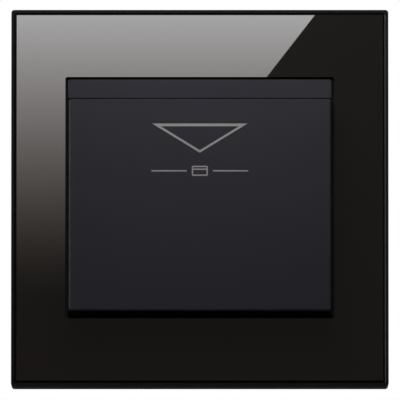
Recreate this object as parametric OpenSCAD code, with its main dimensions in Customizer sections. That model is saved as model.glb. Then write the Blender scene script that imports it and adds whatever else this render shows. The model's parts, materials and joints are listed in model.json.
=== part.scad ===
// Hotel key card switch: a glass fronted wall plate with a card pocket.
// X runs to the right, the front faces -Y, +Y goes into the wall and Z is up.
// The origin is the middle of the fixing pattern, on the wall's surface.

/* [Panel] */
// Side of the square panel
panel_size = 86; // [84:0.5:96]
// How far the glass stands out from the wall
panel_depth = 11; // [9.5:0.5:14]
// Corner radius of the panel frame
panel_corner_r = 0.7; // [0.6:0.1:4]
// Width of the plastic rim round the glass
rim_w = 1; // [0.8:0.1:2]
// How far the rim lies behind the face of the glass
rim_set = 0.3; // [0.1:0.1:1]
// Thickness of the glass
glass_t = 3; // [2:0.1:4]
// Width of the polished bevel on the edge of the glass
glass_bevel = 0.3; // [0.2:0.1:1.2]
// Play between the glass and its rim
glass_clear = 0.1; // [0.05:0.05:0.3]
// Thickness of the tape behind the glass
tape_t = 0.4; // [0.2:0.1:0.8]
// How far the tape stays away from the opening in the glass
tape_set = 2.5; // [1:0.5:4]
// Width of the tape
tape_w = 3; // [2:0.5:5]
// Thickness of the frame's web behind the tape
web_t = 1.6; // [1.2:0.1:2]
// Wall thickness of the panel frame
frame_wall = 2.2; // [1.8:0.1:3]
// Thickness of the frame's snap legs
snap_t = 1.6; // [1.2:0.1:2]
// Width of the frame's snap legs
snap_w = 8; // [6:0.5:12]
// Height of the snap legs above and below the middle
snap_z = 16; // [12:0.5:19]
// Room for a snap leg to flex outwards
snap_flex = 1; // [0.6:0.1:1.5]
// How far a snap hook reaches into its slot
snap_reach = 1; // [0.6:0.1:1.1]

/* [Card pocket] */
// Width of the card
card_w = 54; // [50:0.5:56]
// Play on each side of the card
card_clear = 0.8; // [0.4:0.1:1.2]
// How deep the card goes in below the lip
card_depth = 35.8; // [30:0.1:40]
// Thickness of the pocket's side walls
pocket_wall = 2.25; // [1.9:0.05:2.6]
// Height of the plate that shows in the glass opening
insert_h = 54; // [52:0.1:60]
// Corner radius of the plate
insert_r = 0.6; // [0.3:0.1:2]
// Corner radius of the opening in the glass
opening_r = 0.5; // [0.3:0.1:2]
// Gap between the plate and the glass all round
insert_gap = 0.6; // [0.3:0.1:1]
// Gap between the plate and the frame's web behind the glass
web_gap = 0.1; // [0.1:0.05:0.3]
// Height of the strip above the card slot
strip_h = 4.3; // [3:0.1:6]
// Height of the chamfer under the strip, which leads the card in
lead_h = 0.2; // [0.1:0.1:0.5]
// Gap seen between the strip and the lip of the cover
lip_gap = 0.7; // [0.2:0.1:1]
// How far the strip stands in front of the glass
strip_proud = 0.2; // [0:0.1:0.6]
// Step from the strip down to the pocket's back
strip_step = 0.4; // [0.2:0.1:0.6]
// Clear depth of the card slot at its mouth
slot_mouth = 4.2; // [4.1:0.1:5]
// Thickness of the cover's front wall
cover_t = 1.7; // [1.2:0.1:2.4]
// Slope of the cover's sides over its depth
side_draft = 0.25; // [0.1:0.05:0.6]
// Slope of the cover's underside over its depth
bottom_draft = 0.7; // [0.4:0.05:2]
// Chamfer round the cover's front face
cover_edge = 0.4; // [0.1:0.1:0.6]
// Thickness of the cover's floor at the front
floor_t = 1.4; // [1:0.1:2]
// Width of the two stops that carry the card
stop_w = 2.4; // [1.5:0.1:4]
// Distance of each card stop from the middle
stop_x = 16; // [10:0.5:20]
// Diameter of the pegs that fix the cover to the plate
peg_d = 1.4; // [1:0.1:1.6]
// Length of the pegs
peg_l = 1.5; // [1:0.1:1.7]
// Height step between the pegs
peg_step = 17; // [12:0.5:18]
// Thickness of the pocket plate
plate_t = 1.8; // [1.7:0.1:2.4]
// Thickness of the skirt behind the pocket plate
skirt_t = 1.5; // [1:0.1:2]
// Thickness of the plate's clip legs
clip_t = 1.6; // [1.2:0.1:2]
// Width of the plate's clip legs
clip_w = 5; // [4:0.5:6]
// How far a clip hook laps behind the chassis
clip_lap = 0.7; // [0.4:0.1:0.9]
// Distance of the clip legs from the strap's window edge
clip_set = 2.2; // [1.8:0.1:3]
// Space between the clip legs and the micro switch
clip_side = 1.8; // [1:0.1:2.4]

/* [Card lever] */
// Distance of the lever's pin in front of the wall
pivot_out = 2.2; // [2:0.1:3]
// Angle the lever turns when a card is pushed in
lever_swing = 17; // [12:0.5:18]
// Width of the lever
lever_w = 9; // [8:0.5:10]
// Thickness of the lever's arm
lever_t = 2; // [1.6:0.1:2.4]
// Diameter of the lever's hub
hub_d = 4; // [3.6:0.1:4.3]
// Diameter of the lever's pin
pin_d = 2; // [1.6:0.1:2.4]
// Play between the pin and the bore of the lever, per side
pin_clear = 0.05; // [0.02:0.01:0.08]
// Distance of the lever's nose below the pin
nose_arm = 3; // [2.8:0.1:3.4]
// Radius of the lever's nose
nose_r = 1.6; // [1.4:0.1:1.8]
// Width of the lever's nose
nose_w = 3; // [2:0.1:3.6]
// Gap between the lever and the inside of the cover
lever_gap = 0.4; // [0.3:0.1:0.8]
// Thickness of each bearing ear
ear_t = 2.2; // [1.6:0.1:2.6]
// Radius of each bearing ear
ear_r = 2.5; // [2.2:0.1:2.8]
// Height of the ear's root above the pin
ear_root = 7.5; // [6:0.5:9]
// Side play of the lever between its ears
ear_clear = 0.3; // [0.2:0.05:0.5]
// Wire diameter of the return spring
spring_wire = 0.4; // [0.3:0.05:0.5]
// Turns of the return spring
spring_turns = 3; // [2:1:4]
// Length of the spring's legs
spring_leg = 5.5; // [5:0.1:6]

/* [Mounting strap] */
// Distance between the two fixing holes
fixing_pitch = 60.3; // [60:0.1:61]
// Diameter of the fixing holes
fixing_d = 4.2; // [4:0.1:4.6]
// Room for a fixing screw's head
fixing_head_d = 8; // [7:0.5:9]
// Thickness of the strap
strap_t = 1.2; // [1:0.1:1.5]
// How far the strap reaches past the housing, up and down
strap_lap = 3; // [2:0.5:6]
// Corner radius of the strap
strap_r = 3; // [1:0.5:5]
// Width of the strap's bars over the housing, up and down
window_bar = 5; // [4.8:0.1:6]
// How far the strap laps over the chassis at each side
window_lap = 2; // [1.5:0.1:2.4]
// Gap between the strap's flanges and the panel frame
flange_gap = 0.6; // [0.4:0.1:1.2]
// Length of the side flanges
flange_l = 50; // [48:0.5:54]
// Height of the snap slots in the flanges
snap_slot = 1.4; // [1.2:0.1:1.6]
// Distance of the snap slots from the flange's front edge
snap_slot_set = 1; // [0.8:0.1:1.2]
// Thread diameter of the earth screw
earth_d = 3.4; // [3:0.1:4]
// Gap between the earth washer and the housing
earth_gap = 1.25; // [0.6:0.05:2]
// Place of the earth screw, upwards
earth_z = 22; // [18:0.5:24]
// Side of the square earth washer
earth_washer_w = 7.5; // [7:0.1:9]

/* [Housing] */
// Width of the rear housing
housing_w = 50; // [48:0.5:53]
// Height of the rear housing
housing_h = 58; // [54:0.5:62]
// Wall thickness of the housing
housing_wall = 1.8; // [1.6:0.1:2]
// Corner radius of the housing
housing_r = 2; // [1:0.5:4]
// Room between the tallest board part and the housing
back_room = 0.4; // [0.2:0.1:3]
// Thickness of the chassis
chassis_t = 1.6; // [1.2:0.1:2]
// Thickness of the housing's edge round the chassis
chassis_edge = 1; // [0.8:0.1:1.2]
// Play round the chassis
chassis_clear = 0.1; // [0.05:0.05:0.3]
// Thread diameter of the strap screws and board screws
screw_d = 2.2; // [2:0.1:2.4]
// Head diameter of the strap screws
screw_head_d = 4; // [3.6:0.1:4.2]
// Length of the strap screws
screw_l = 9; // [7:0.5:12]
// Distance of the strap screws from the chassis's side
screw_set = 3.9; // [3.4:0.1:5]
// Diameter of the screw pillars
pillar_d = 5.2; // [4.8:0.1:5.4]
// Play between a screw and its hole, per side
screw_clear = 0.1; // [0.05:0.05:0.2]

/* [Micro switch] */
// Width of the switch
switch_w = 6.4; // [6:0.1:7.5]
// Height of the switch, without its button
switch_h = 10.2; // [9.8:0.1:12]
// Wall thickness of the switch
switch_wall = 1; // [0.8:0.1:1.2]
// Room behind the blade's pivot
switch_end = 3.1; // [2.4:0.1:4]
// Width of the button
button_w = 2.9; // [2.4:0.1:3]
// Thickness of the button
button_t = 1.6; // [1.2:0.1:2]
// Gap between the lever's nose and the button
button_gap = 0.02; // [0.01:0.01:0.05]
// Distance from the blade's pivot to the button
blade_arm = 9; // [8:0.1:10]
// Distance from the button to the blade's contact
blade_reach = 4.6; // [4:0.1:5.5]
// Thickness of the blade
blade_t = 0.3; // [0.2:0.05:0.4]
// Width of the blade
blade_w = 3.2; // [2.4:0.1:3.6]
// Depth of the blade behind the switch's front
blade_set = 3.6; // [3.4:0.1:4]
// Diameter of the contact rivets
rivet_d = 1.8; // [1.4:0.1:2]

/* [Circuit board] */
// Thickness of the board
board_t = 1.6; // [1:0.1:2]
// Gap between the board and the housing
board_clear = 0.6; // [0.4:0.1:0.8]
// Diameter of the board's posts
post_d = 5; // [4.4:0.1:5.4]
// Head diameter of the board screws
board_screw_head_d = 4.2; // [3.6:0.1:4.4]
// Diameter of the wire leads
lead_d = 0.7; // [0.5:0.05:0.8]
// Play between a lead and its hole, per side
lead_clear = 0.1; // [0.05:0.05:0.2]
// How far the leads stand out of the board
lead_tail = 1; // [0.6:0.1:1.4]

/* [Terminals] */
// Height of the terminal block
terminal_l = 10; // [9.6:0.1:11]
// Wall thickness of the terminal block
terminal_wall = 1.6; // [1.2:0.1:2]
// Thickness of the terminal block's roof
terminal_roof = 2; // [1.6:0.1:3]
// Side of the square brass cages
cage_w = 8; // [7.5:0.1:8.5]
// Wall thickness of the cages
cage_wall = 1.4; // [1.2:0.1:1.6]
// Play round each cage
cage_clear = 0.2; // [0.1:0.05:0.25]
// Thread diameter of the terminal screws
terminal_screw_d = 3; // [2.6:0.1:3.4]
// Head diameter of the terminal screws
terminal_head_d = 4.6; // [4.2:0.1:4.8]
// Side of the square wire holes in the housing
wire_hole = 3.9; // [3:0.1:5]
// Play round a screwdriver in its hole, per side
driver_play = 0.5; // [0.3:0.1:1]

/* [Relay] */
// Wall thickness of the relay's case
relay_wall = 0.8; // [0.6:0.1:1]
// Room between the relay's works and its case
relay_room = 0.95; // [0.8:0.05:1.5]
// Thickness of the relay's base
relay_base_t = 1.6; // [1.2:0.1:1.8]
// Length of the coil with its end flanges
coil_l = 13; // [11:0.1:15]
// Diameter of the winding
coil_d = 8.2; // [7:0.1:9]
// How far the coil's flanges stand out past the winding
flange_lap = 0.4; // [0.3:0.1:0.6]
// Diameter of the coil's iron core
core_d = 3; // [2.4:0.1:3.4]
// Thickness of the yoke and the armature
yoke_t = 1; // [0.8:0.1:1.1]
// Width of the yoke and the armature
yoke_w = 8; // [6:0.1:9]
// Air gap between the core and the armature
armature_gap = 0.8; // [0.7:0.05:1]
// Angle the armature turns when the coil pulls
armature_swing = 5; // [3:0.5:5.5]

/* [Board parts] */
// Length of the film capacitor
film_l = 18; // [14:0.5:18.5]
// Height of the film capacitor
film_h = 12; // [9:0.5:13.5]
// Thickness of the film capacitor
film_t = 7; // [5:0.5:7.5]
// Diameter of the electrolytic capacitor
can_d = 8; // [6.3:0.1:8.5]
// Height of the electrolytic capacitor
can_h = 11.5; // [9:0.5:13.5]
// Diameter of the varistor
varistor_d = 9; // [7:0.5:10]
// Thickness of the varistor
varistor_t = 4.2; // [3.5:0.1:4.6]
// Diameter of the fuse
fuse_d = 4.2; // [3.6:0.1:4.6]
// Length of the fuse
fuse_l = 12; // [9:0.5:13]
// Length of the rectifier and the timer chip
chip_l = 9; // [8.4:0.1:9.4]
// Width of the rectifier and the timer chip
chip_w = 6.4; // [6:0.1:6.6]
// Height of the rectifier and the timer chip
chip_h = 3.2; // [2.6:0.1:3.8]
// Gap between neighbouring parts on the board
part_gap = 1.5; // [1.2:0.1:1.8]

/* [Hidden] */
$fn = 48;

// Steps in the arc of a rounded corner
corner_steps = 6;
// Overshoot of cuts past the faces they open
over = 1;
// Lap that joins two shapes of one solid
lap = 0.1;
// Gap between a part and the face that it seats on
seat = 0.05;

// Depths of the panel, from the wall plane at zero forwards
glass_y = -panel_depth;
tape_y = glass_y + glass_t;
web_y = tape_y + tape_t;
web_back = web_y + web_t;
rim_y = glass_y + rim_set;
strip_y = glass_y - strip_proud;
pocket_y = strip_y + strip_step;
plate_back = pocket_y + plate_t;
cover_in = strip_y - slot_mouth;
cover_y = cover_in - cover_t;
strap_y = -strap_t;

// Widths and heights of the panel and the pocket
glass_size = panel_size - 2 * (rim_w + glass_clear);
pocket_w = card_w + 2 * card_clear;
insert_w = pocket_w + 2 * pocket_wall;
opening_w = insert_w + 2 * insert_gap;
opening_h = insert_h + 2 * insert_gap;
insert_top = insert_h / 2;
strip_low = insert_top - strip_h;
lip_z = strip_low - lip_gap;
floor_z = -insert_top + bottom_draft + floor_t;
stop_z = lip_z - card_depth;

// Strap, flanges and snap slots
snap_play = 0.2;
strap_w = panel_size - 2 * (frame_wall + snap_flex + snap_t + snap_play);
strap_h = max(insert_h, housing_h) + 2 * strap_lap;
flange_h = -web_back - flange_gap;
window_h = housing_h - 2 * window_bar;
snap_slot_y = -flange_h + snap_slot_set;
window_w = housing_w - 2 * (chassis_edge + chassis_clear + window_lap);
chassis_w = housing_w - 2 * (chassis_edge + chassis_clear);
chassis_h = housing_h - 2 * (chassis_edge + chassis_clear);
screw_x = chassis_w / 2 - screw_set;
screw_z = window_h / 2 + screw_head_d / 2 + screw_clear + lap;
earth_x = housing_w / 2 + earth_gap + earth_washer_w / 2;
earth_washer_t = 1;
earth_head = 2.6;

// Lever: half of its swing lies on each side of level
lever_half = lever_swing / 2;
lever_y = -pivot_out;
lever_top = lever_t / 2 / cos(lever_half);
card_y = (cover_in + pocket_y) / 2;
lever_z = stop_z + (lever_y - card_y) * tan(lever_half) - lever_top;
arm_l = lever_y - cover_in - lever_gap;
spring_r = hub_d / 2 - spring_wire;
spring_gap = 0.15;
spring_pitch = spring_wire + spring_gap;
spring_room = spring_turns * spring_pitch + spring_wire + 2 * spring_gap;
hub_end = lever_w / 2 - spring_room;
ear_x = lever_w / 2 + ear_clear;
lug_set = 3.6;
lug_w = 1.2;
window_play = 0.7;

// Micro switch behind the lever's nose
button_travel = 2 * nose_arm * sin(lever_half);
button_y = lever_y - nose_arm * sin(lever_half) + nose_r + button_gap;
button_spare = 0.2;
switch_y = button_y + button_travel + button_spare;
switch_back = switch_y + switch_h;
terminal_strip = 0.4;
tip_room = 0.7;
switch_z = lever_z - nose_arm * cos(lever_half);
switch_x1 = blade_reach + rivet_d / 2 + tip_room + terminal_strip + lap + switch_wall;
switch_x0 = -blade_arm - switch_end;
switch_z0 = switch_z - switch_w / 2;
switch_z1 = switch_z + switch_w / 2;
blade_y = switch_y + blade_set;
blade_swing = atan(button_travel / blade_arm);
tip_travel = button_travel * (blade_arm + blade_reach) / blade_arm + rivet_d / 2 * sin(blade_swing);
rivet_out = 0.5;
contact_gap = 0.05;
barrel_d = 1.2;
nc_x = switch_x1 - switch_wall - lap;
switch_floor = 1.4;
switch_window_play = 0.3;
clip_x = -switch_x0 + switch_window_play + clip_side + clip_w / 2;
clip_z = window_h / 2 - clip_set - clip_t / 2;

// Terminal block and relay, as their own inner parts need
terminal_pitch = cage_w + 2 * cage_clear + terminal_wall;
terminal_h = terminal_wall + 2 * cage_clear + cage_w + terminal_roof;
coil_flange = coil_d + 2 * flange_lap;
relay_in = relay_wall + lap;
relay_w = coil_flange + 2 * (relay_in + relay_room);
yoke_seat = 0.1;
coil_seat = 0.2;
relay_h = relay_base_t + coil_seat + coil_flange + yoke_seat + yoke_t + relay_room + relay_wall;
varistor_foot = 1;

// Circuit board and housing depth
board_y = switch_back + seat;
board_back = board_y + board_t;
tallest = max(relay_h, terminal_h, film_h, can_h, varistor_d + varistor_foot);
housing_back = board_back + tallest + back_room;
housing_depth = housing_back + housing_wall;
board_w = housing_w - 2 * (housing_wall + board_clear);
board_h = housing_h - 2 * (housing_wall + board_clear);
post_edge = 0.4;
post_x = board_w / 2 - post_d / 2 - post_edge;

// Terminals along the bottom of the board
terminal_x = [-terminal_pitch, 0, terminal_pitch];
terminal_w = 2 * terminal_pitch + cage_w + 2 * (cage_clear + terminal_wall);
terminal_edge = 0.6;
terminal_z0 = -board_h / 2 + terminal_edge;
terminal_z1 = terminal_z0 + terminal_l;
cage_pocket_y = board_back + terminal_wall;
cage_y0 = cage_pocket_y + cage_clear;
cage_y1 = cage_y0 + cage_w;
cage_l = terminal_l - terminal_wall;
screw_tip = 3.4;
wire_y = cage_y0 + cage_wall + screw_tip / 2;
driver_d = terminal_head_d + 2 * driver_play;

// Relay above the terminals
relay_x0 = -post_x + post_d / 2 + part_gap;
relay_z = terminal_z1 + part_gap + relay_w / 2;
relay_floor = board_back + relay_base_t;
coil_x0 = relay_x0 + relay_in + coil_seat + yoke_t;
coil_x1 = coil_x0 + coil_l;
coil_y = relay_floor + coil_seat + coil_flange / 2;
flange_t = 0.8;
coil_lead_x = coil_x0 + seat + flange_t / 2;
coil_lead_z = coil_flange / 2 - flange_t;
yoke_y = coil_y + coil_flange / 2 + yoke_seat;
armature_x = coil_x1 + yoke_seat + armature_gap;
armature_rise = 3.2;
armature_pivot = 0.8;
hinge_y = yoke_y + yoke_t;
leaf_t = 0.3;
leaf_spacer = 1.4;
leaf_x = armature_x + yoke_t + leaf_spacer;
leaf_y = relay_floor + leaf_spacer;
leaf_travel = (hinge_y - leaf_y + rivet_d / 2) * sin(armature_swing);
relay_rivet = 0.5;
relay_post = 0.7;
pull_x = leaf_x - relay_rivet - leaf_travel - contact_gap - relay_post;
rest_x = leaf_x + leaf_t + relay_rivet + contact_gap;
relay_x1 = rest_x + relay_post + 2 * relay_room + relay_in;

// Rows of parts above the relay
row_z = max(relay_z + relay_w / 2 + part_gap, post_d / 2 + 2 * lap);
film_x = -post_x + film_l / 2;
film_z = row_z + max(film_t, can_d, varistor_d) / 2;
can_x = film_x + film_l / 2 + part_gap + can_d / 2;
varistor_x = can_x + can_d / 2 + part_gap + varistor_t / 2;
upper_z = row_z + max(film_t, can_d, varistor_d) + part_gap;
fuse_z = upper_z + fuse_d / 2;
fuse_edge = 2;
fuse_lead_out = 1;
fuse_x = -board_w / 2 + fuse_edge + fuse_l / 2;
rectifier_x = fuse_x + fuse_l / 2 + fuse_lead_out + part_gap + chip_l / 2;
chip_x = rectifier_x + chip_l + part_gap;
chip_z = upper_z + chip_w / 2;

// Lead places, as [x, z]
switch_leads = [
    [-blade_arm, switch_z], [blade_reach, switch_z], [nc_x - terminal_strip / 2, switch_z]
];
terminal_leads = [for (x = terminal_x) [x, terminal_z0 + cage_l / 2]];
relay_leads = [
    [coil_lead_x, relay_z - coil_lead_z], [coil_lead_x, relay_z + coil_lead_z],
    [pull_x + relay_post / 2, relay_z], [rest_x + relay_post / 2, relay_z]
];
film_lead_set = 1.5;
film_leads = [for (s = [-1, 1]) [film_x + s * (film_l / 2 - film_lead_set), film_z]];
can_leads = [for (s = [-1, 1]) [can_x + s * can_d / 4, film_z]];
varistor_leads = [for (s = [-1, 1]) [varistor_x, film_z + s * varistor_d / 3]];
fuse_leads = [for (s = [-1, 1]) [fuse_x + s * (fuse_l / 2 + fuse_lead_out), fuse_z]];
rectifier_leads = [for (s = [-1, 1], t = [-1, 1]) [rectifier_x + s * chip_l / 3, chip_z + t * chip_w / 3]];
chip_leads = [
    for (i = [-1.5 : 1.5], t = [-1, 1]) [chip_x + i * chip_l / 4.5, chip_z + t * chip_w / 3]
];
all_leads = concat(
    switch_leads, terminal_leads, relay_leads, film_leads, can_leads,
    varistor_leads, fuse_leads, rectifier_leads, chip_leads
);

// Points of a rectangle with rounded corners, in the front view
function rounded_outline(w, h, r) = [
    for (c = [[1, 1, 0], [-1, 1, 90], [-1, -1, 180], [1, -1, 270]], i = [0 : corner_steps])
        let (a = c[2] + 90 * i / corner_steps)
        [c[0] * (w / 2 - r) + r * cos(a), c[1] * (h / 2 - r) + r * sin(a)]
];

// Points of the spring's wire: a leg up the chassis, the turns, and a leg under the arm
function spring_path() = let (
    start_a = 0,
    end_a = 360 * spring_turns + 270 - lever_half,
    steps = 8 * spring_turns + 6,
    x0 = hub_end + spring_gap + spring_wire / 2,
    turn = function (a) [
        x0 + spring_pitch * a / 360,
        lever_y + spring_r * cos(a),
        lever_z + spring_r * sin(a)
    ],
    last = turn(end_a),
    along = [0, -cos(lever_half), sin(lever_half)]
) concat(
    [turn(start_a) + [0, 0, spring_leg]],
    [for (i = [0 : steps]) turn(start_a + (end_a - start_a) * i / steps)],
    [last + spring_leg * along]
);

// Draws a front view outline as a solid between two depths
module between(y0, y1) {
    translate([0, y1, 0])
        rotate([90, 0, 0])
            linear_extrude(y1 - y0)
                children();
}

module rounded_rect(w, h, r) {
    polygon(rounded_outline(w, h, r));
}

// Box between two opposite corners
module block(lo, hi) {
    translate(lo)
        cube(hi - lo);
}

// Round bar along Y
module rod_y(x, z, y0, y1, d) {
    translate([x, y1, z])
        rotate([90, 0, 0])
            cylinder(d = d, h = y1 - y0);
}

// Round bar along X
module rod_x(x0, x1, y, z, d) {
    translate([x0, y, z])
        rotate([0, 90, 0])
            cylinder(d = d, h = x1 - x0);
}

// Four places mirrored about the middle
module at_corners(x, z) {
    for (sx = [-1, 1], sz = [-1, 1])
        translate([sx * x, 0, sz * z])
            children();
}

// Leads from a part down through the board
module leads(places, from_y, to_y) {
    for (p = places)
        rod_y(p[0], p[1], from_y, to_y, lead_d);
}

// Leads of a part on the back of the board
module back_leads(places, part_y) {
    leads(places, board_y - lead_tail, part_y + lap);
}

module glass_panel() {
    color("#1b1916")
        difference() {
            hull() {
                between(glass_y, glass_y + glass_bevel)
                    square(glass_size - 2 * glass_bevel, center = true);
                between(glass_y + glass_bevel, tape_y)
                    square(glass_size, center = true);
            }
            between(glass_y - over, tape_y + over)
                rounded_rect(opening_w, opening_h, opening_r);
        }
}

module glass_tape() {
    tape_out = tape_set + tape_w;
    color("#2a2a2a")
        between(tape_y, web_y)
            difference() {
                square([opening_w + 2 * tape_out, opening_h + 2 * tape_out], center = true);
                square([opening_w + 2 * tape_set, opening_h + 2 * tape_set], center = true);
            }
}

// One snap leg with its hook, at the right side
module snap_leg() {
    inner = strap_w / 2 + snap_play;
    hook_y0 = snap_slot_y + lap;
    hook_y1 = snap_slot_y + snap_slot - lap;
    hook_tail = 0.5;
    block([inner, web_back - lap, -snap_w / 2], [inner + snap_t, hook_y1 + hook_tail, snap_w / 2]);
    block(
        [strap_w / 2 - snap_reach, hook_y0, -snap_w / 2 + snap_play],
        [inner + lap, hook_y1, snap_w / 2 - snap_play]
    );
}

module panel_frame() {
    color("#1a1a1b") {
        difference() {
            between(rim_y, 0)
                rounded_rect(panel_size, panel_size, panel_corner_r);
            between(rim_y - over, web_y)
                square(panel_size - 2 * rim_w, center = true);
            between(web_y - over, web_back + over)
                rounded_rect(insert_w + 2 * web_gap, insert_h + 2 * web_gap, insert_r + web_gap);
            between(web_back, over)
                square(panel_size - 2 * frame_wall, center = true);
        }
        for (side = [0, 1], sz = [-1, 1])
            mirror([side, 0, 0])
                translate([0, 0, sz * snap_z])
                    snap_leg();
    }
}

// Outer block of the cover: drafted sides, sloped underside, chamfered face
module cover_block() {
    height = lip_z + insert_top;
    drafts = [[pocket_y, 0], [cover_y + cover_edge, 1 - cover_edge / (pocket_y - cover_y)]];
    thin = 0.01;
    hull() {
        for (d = drafts)
            block(
                [-insert_w / 2 + side_draft * d[1], d[0] - thin, -insert_top + bottom_draft * d[1]],
                [insert_w / 2 - side_draft * d[1], d[0], lip_z]
            );
        block(
            [-insert_w / 2 + side_draft + cover_edge, cover_y, lip_z - height + bottom_draft + cover_edge],
            [insert_w / 2 - side_draft - cover_edge, cover_y + thin, lip_z - cover_edge]
        );
    }
}

// Places of the cover's pegs, as [x, z]
peg_places = [
    for (sx = [-1, 1], i = [-1 : 1]) [sx * (pocket_w + pocket_wall) / 2, i * peg_step]
];

module front_cover() {
    color("#2f2f33") {
        difference() {
            cover_block();
            block([-pocket_w / 2, cover_in, floor_z], [pocket_w / 2, pocket_y + over, lip_z + over]);
        }
        for (p = peg_places)
            rod_y(p[0], p[1], pocket_y - lap, pocket_y + peg_l, peg_d);
        for (s = [-1, 1])
            block(
                [s * stop_x - stop_w / 2, cover_in - lap, floor_z - lap],
                [s * stop_x + stop_w / 2, pocket_y - seat, stop_z]
            );
    }
}

// One clip leg with its hook, at the upper right
module clip_leg() {
    hook_y = chassis_t + seat;
    block([-clip_w / 2, plate_back - lap, -clip_t / 2], [clip_w / 2, hook_y + clip_t, clip_t / 2]);
    block([-clip_w / 2, hook_y, 0], [clip_w / 2, hook_y + clip_t, clip_t / 2 + seat + clip_lap]);
}

module pocket_plate() {
    lever_window = lever_w / 2 + window_play;
    lever_rise = (lever_y - pocket_y) * sin(lever_half) + lever_top + window_play;
    color("#323236")
        difference() {
            union() {
                between(pocket_y, plate_back)
                    rounded_rect(insert_w, insert_h, insert_r);
                difference() {
                    between(strip_y, pocket_y + lap)
                        rounded_rect(insert_w, insert_h, insert_r);
                    block(
                        [-insert_w, strip_y - over, -insert_h],
                        [insert_w, pocket_y, strip_low]
                    );
                }
                translate([-insert_w / 2, 0, 0])
                    rotate([90, 0, 90])
                        linear_extrude(insert_w)
                            polygon([
                                [strip_y, strip_low + lap], [strip_y, strip_low],
                                [pocket_y, strip_low - lead_h], [pocket_y + lap, strip_low]
                            ]);
                difference() {
                    between(plate_back - lap, strap_y)
                        difference() {
                            rounded_rect(insert_w, insert_h, insert_r);
                            square([insert_w - 2 * skirt_t, insert_h - 2 * skirt_t], center = true);
                        }
                    for (s = [-1, 1])
                        rod_y(s * fixing_pitch / 2, 0, plate_back, strap_y + over, fixing_head_d);
                }
                for (sx = [-1, 1], side = [0, 1])
                    mirror([0, 0, side])
                        translate([sx * clip_x, 0, clip_z])
                            clip_leg();
            }
            block(
                [-lever_window, pocket_y - over, lever_z - lever_rise],
                [lever_window, plate_back + over, lever_z + lever_rise]
            );
            for (p = peg_places)
                rod_y(p[0], p[1], pocket_y - over, plate_back + over, peg_d + 2 * seat);
        }
}

module mounting_strap() {
    color("#b9bbbd")
        difference() {
            union() {
                between(strap_y, 0)
                    rounded_rect(strap_w, strap_h, strap_r);
                for (side = [0, 1])
                    mirror([side, 0, 0])
                        block(
                            [strap_w / 2 - strap_t, -flange_h, -flange_l / 2],
                            [strap_w / 2, 0, flange_l / 2]
                        );
            }
            between(strap_y - over, over)
                rounded_rect(window_w, window_h, strap_r);
            for (s = [-1, 1])
                rod_y(s * fixing_pitch / 2, 0, strap_y - over, over, fixing_d);
            at_corners(screw_x, screw_z) {
                rod_y(0, 0, strap_y - over, over, screw_d + 2 * screw_clear);
                screw_sink(screw_clear);
            }
            for (side = [0, 1], sz = [-1, 1])
                mirror([side, 0, 0])
                    block(
                        [strap_w / 2 - strap_t - over, snap_slot_y, sz * snap_z - snap_w / 2],
                        [strap_w / 2 + over, snap_slot_y + snap_slot, sz * snap_z + snap_w / 2]
                    );
            rod_y(earth_x, earth_z, strap_y - over, over, earth_d + 2 * seat);
        }
}

// Countersunk head from the strap's face down to the shank
module screw_sink(play) {
    rotate([90, 0, 0])
        cylinder(d1 = screw_d + 2 * play, d2 = screw_head_d + 2 * play, h = strap_t);
}

// Slot for a screwdriver across a head that faces along Y
module driver_slot(y, head_d, wide) {
    block([-head_d, y - wide, -wide / 2], [head_d, y + wide, wide / 2]);
}

module strap_screws() {
    slot_w = 0.7;
    color("#c9c4b4")
        at_corners(screw_x, screw_z)
            difference() {
                union() {
                    screw_sink(0);
                    rod_y(0, 0, -lap, screw_l, screw_d);
                }
                driver_slot(strap_y, screw_head_d, slot_w);
            }
}

module earth_washer() {
    color("#c8b06a")
        difference() {
            block(
                [earth_x - earth_washer_w / 2, 0, earth_z - earth_washer_w / 2],
                [earth_x + earth_washer_w / 2, earth_washer_t, earth_z + earth_washer_w / 2]
            );
            rod_y(earth_x, earth_z, -over, earth_washer_t + over, earth_d + 2 * seat);
        }
}

module earth_screw() {
    head_t = 2.2;
    head_d = earth_d + earth_head;
    slot_w = 1;
    color("#c8b06a")
        difference() {
            union() {
                rod_y(earth_x, earth_z, strap_y + lap, earth_washer_t + lap, earth_d);
                rod_y(earth_x, earth_z, earth_washer_t, earth_washer_t + head_t, head_d);
            }
            translate([earth_x, 0, earth_z])
                driver_slot(earth_washer_t + head_t, head_d, slot_w);
        }
}

// Bearing ear at the right of the lever
module bearing_ear() {
    difference() {
        union() {
            rod_x(ear_x, ear_x + ear_t, lever_y, lever_z, 2 * ear_r);
            block([ear_x, lever_y - ear_r, lever_z], [ear_x + ear_t, lap, lever_z + ear_root]);
        }
        block(
            [ear_x - over, 0, lever_z - 2 * ear_r],
            [ear_x + ear_t + over, 2 * ear_r, switch_z1 + switch_window_play]
        );
        rod_x(ear_x - over, ear_x + ear_t + over, lever_y, lever_z, pin_d + 2 * seat);
    }
}

module chassis() {
    clip_slot = clip_t + clip_lap;
    color("#d8d5cc") {
        difference() {
            between(0, chassis_t)
                rounded_rect(chassis_w, chassis_h, housing_r);
            block(
                [-lever_w / 2 - window_play, -over, switch_z],
                [lever_w / 2 + window_play, chassis_t + over, lever_z + hub_d / 2 + window_play]
            );
            block(
                [switch_x0 - switch_window_play, -over, switch_z0 - switch_window_play],
                [switch_x1 + switch_window_play, chassis_t + over, switch_z1 + switch_window_play]
            );
            for (sx = [-1, 1], side = [0, 1])
                mirror([0, 0, side])
                    translate([sx * clip_x, 0, clip_z])
                        block(
                            [-clip_w / 2 - seat, -over, clip_t / 2 - clip_slot],
                            [clip_w / 2 + seat, chassis_t + over, clip_t / 2 + seat]
                        );
            at_corners(screw_x, screw_z)
                rod_y(0, 0, -over, chassis_t + over, screw_d + 2 * screw_clear);
        }
        for (side = [0, 1])
            mirror([side, 0, 0])
                bearing_ear();
    }
}

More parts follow.
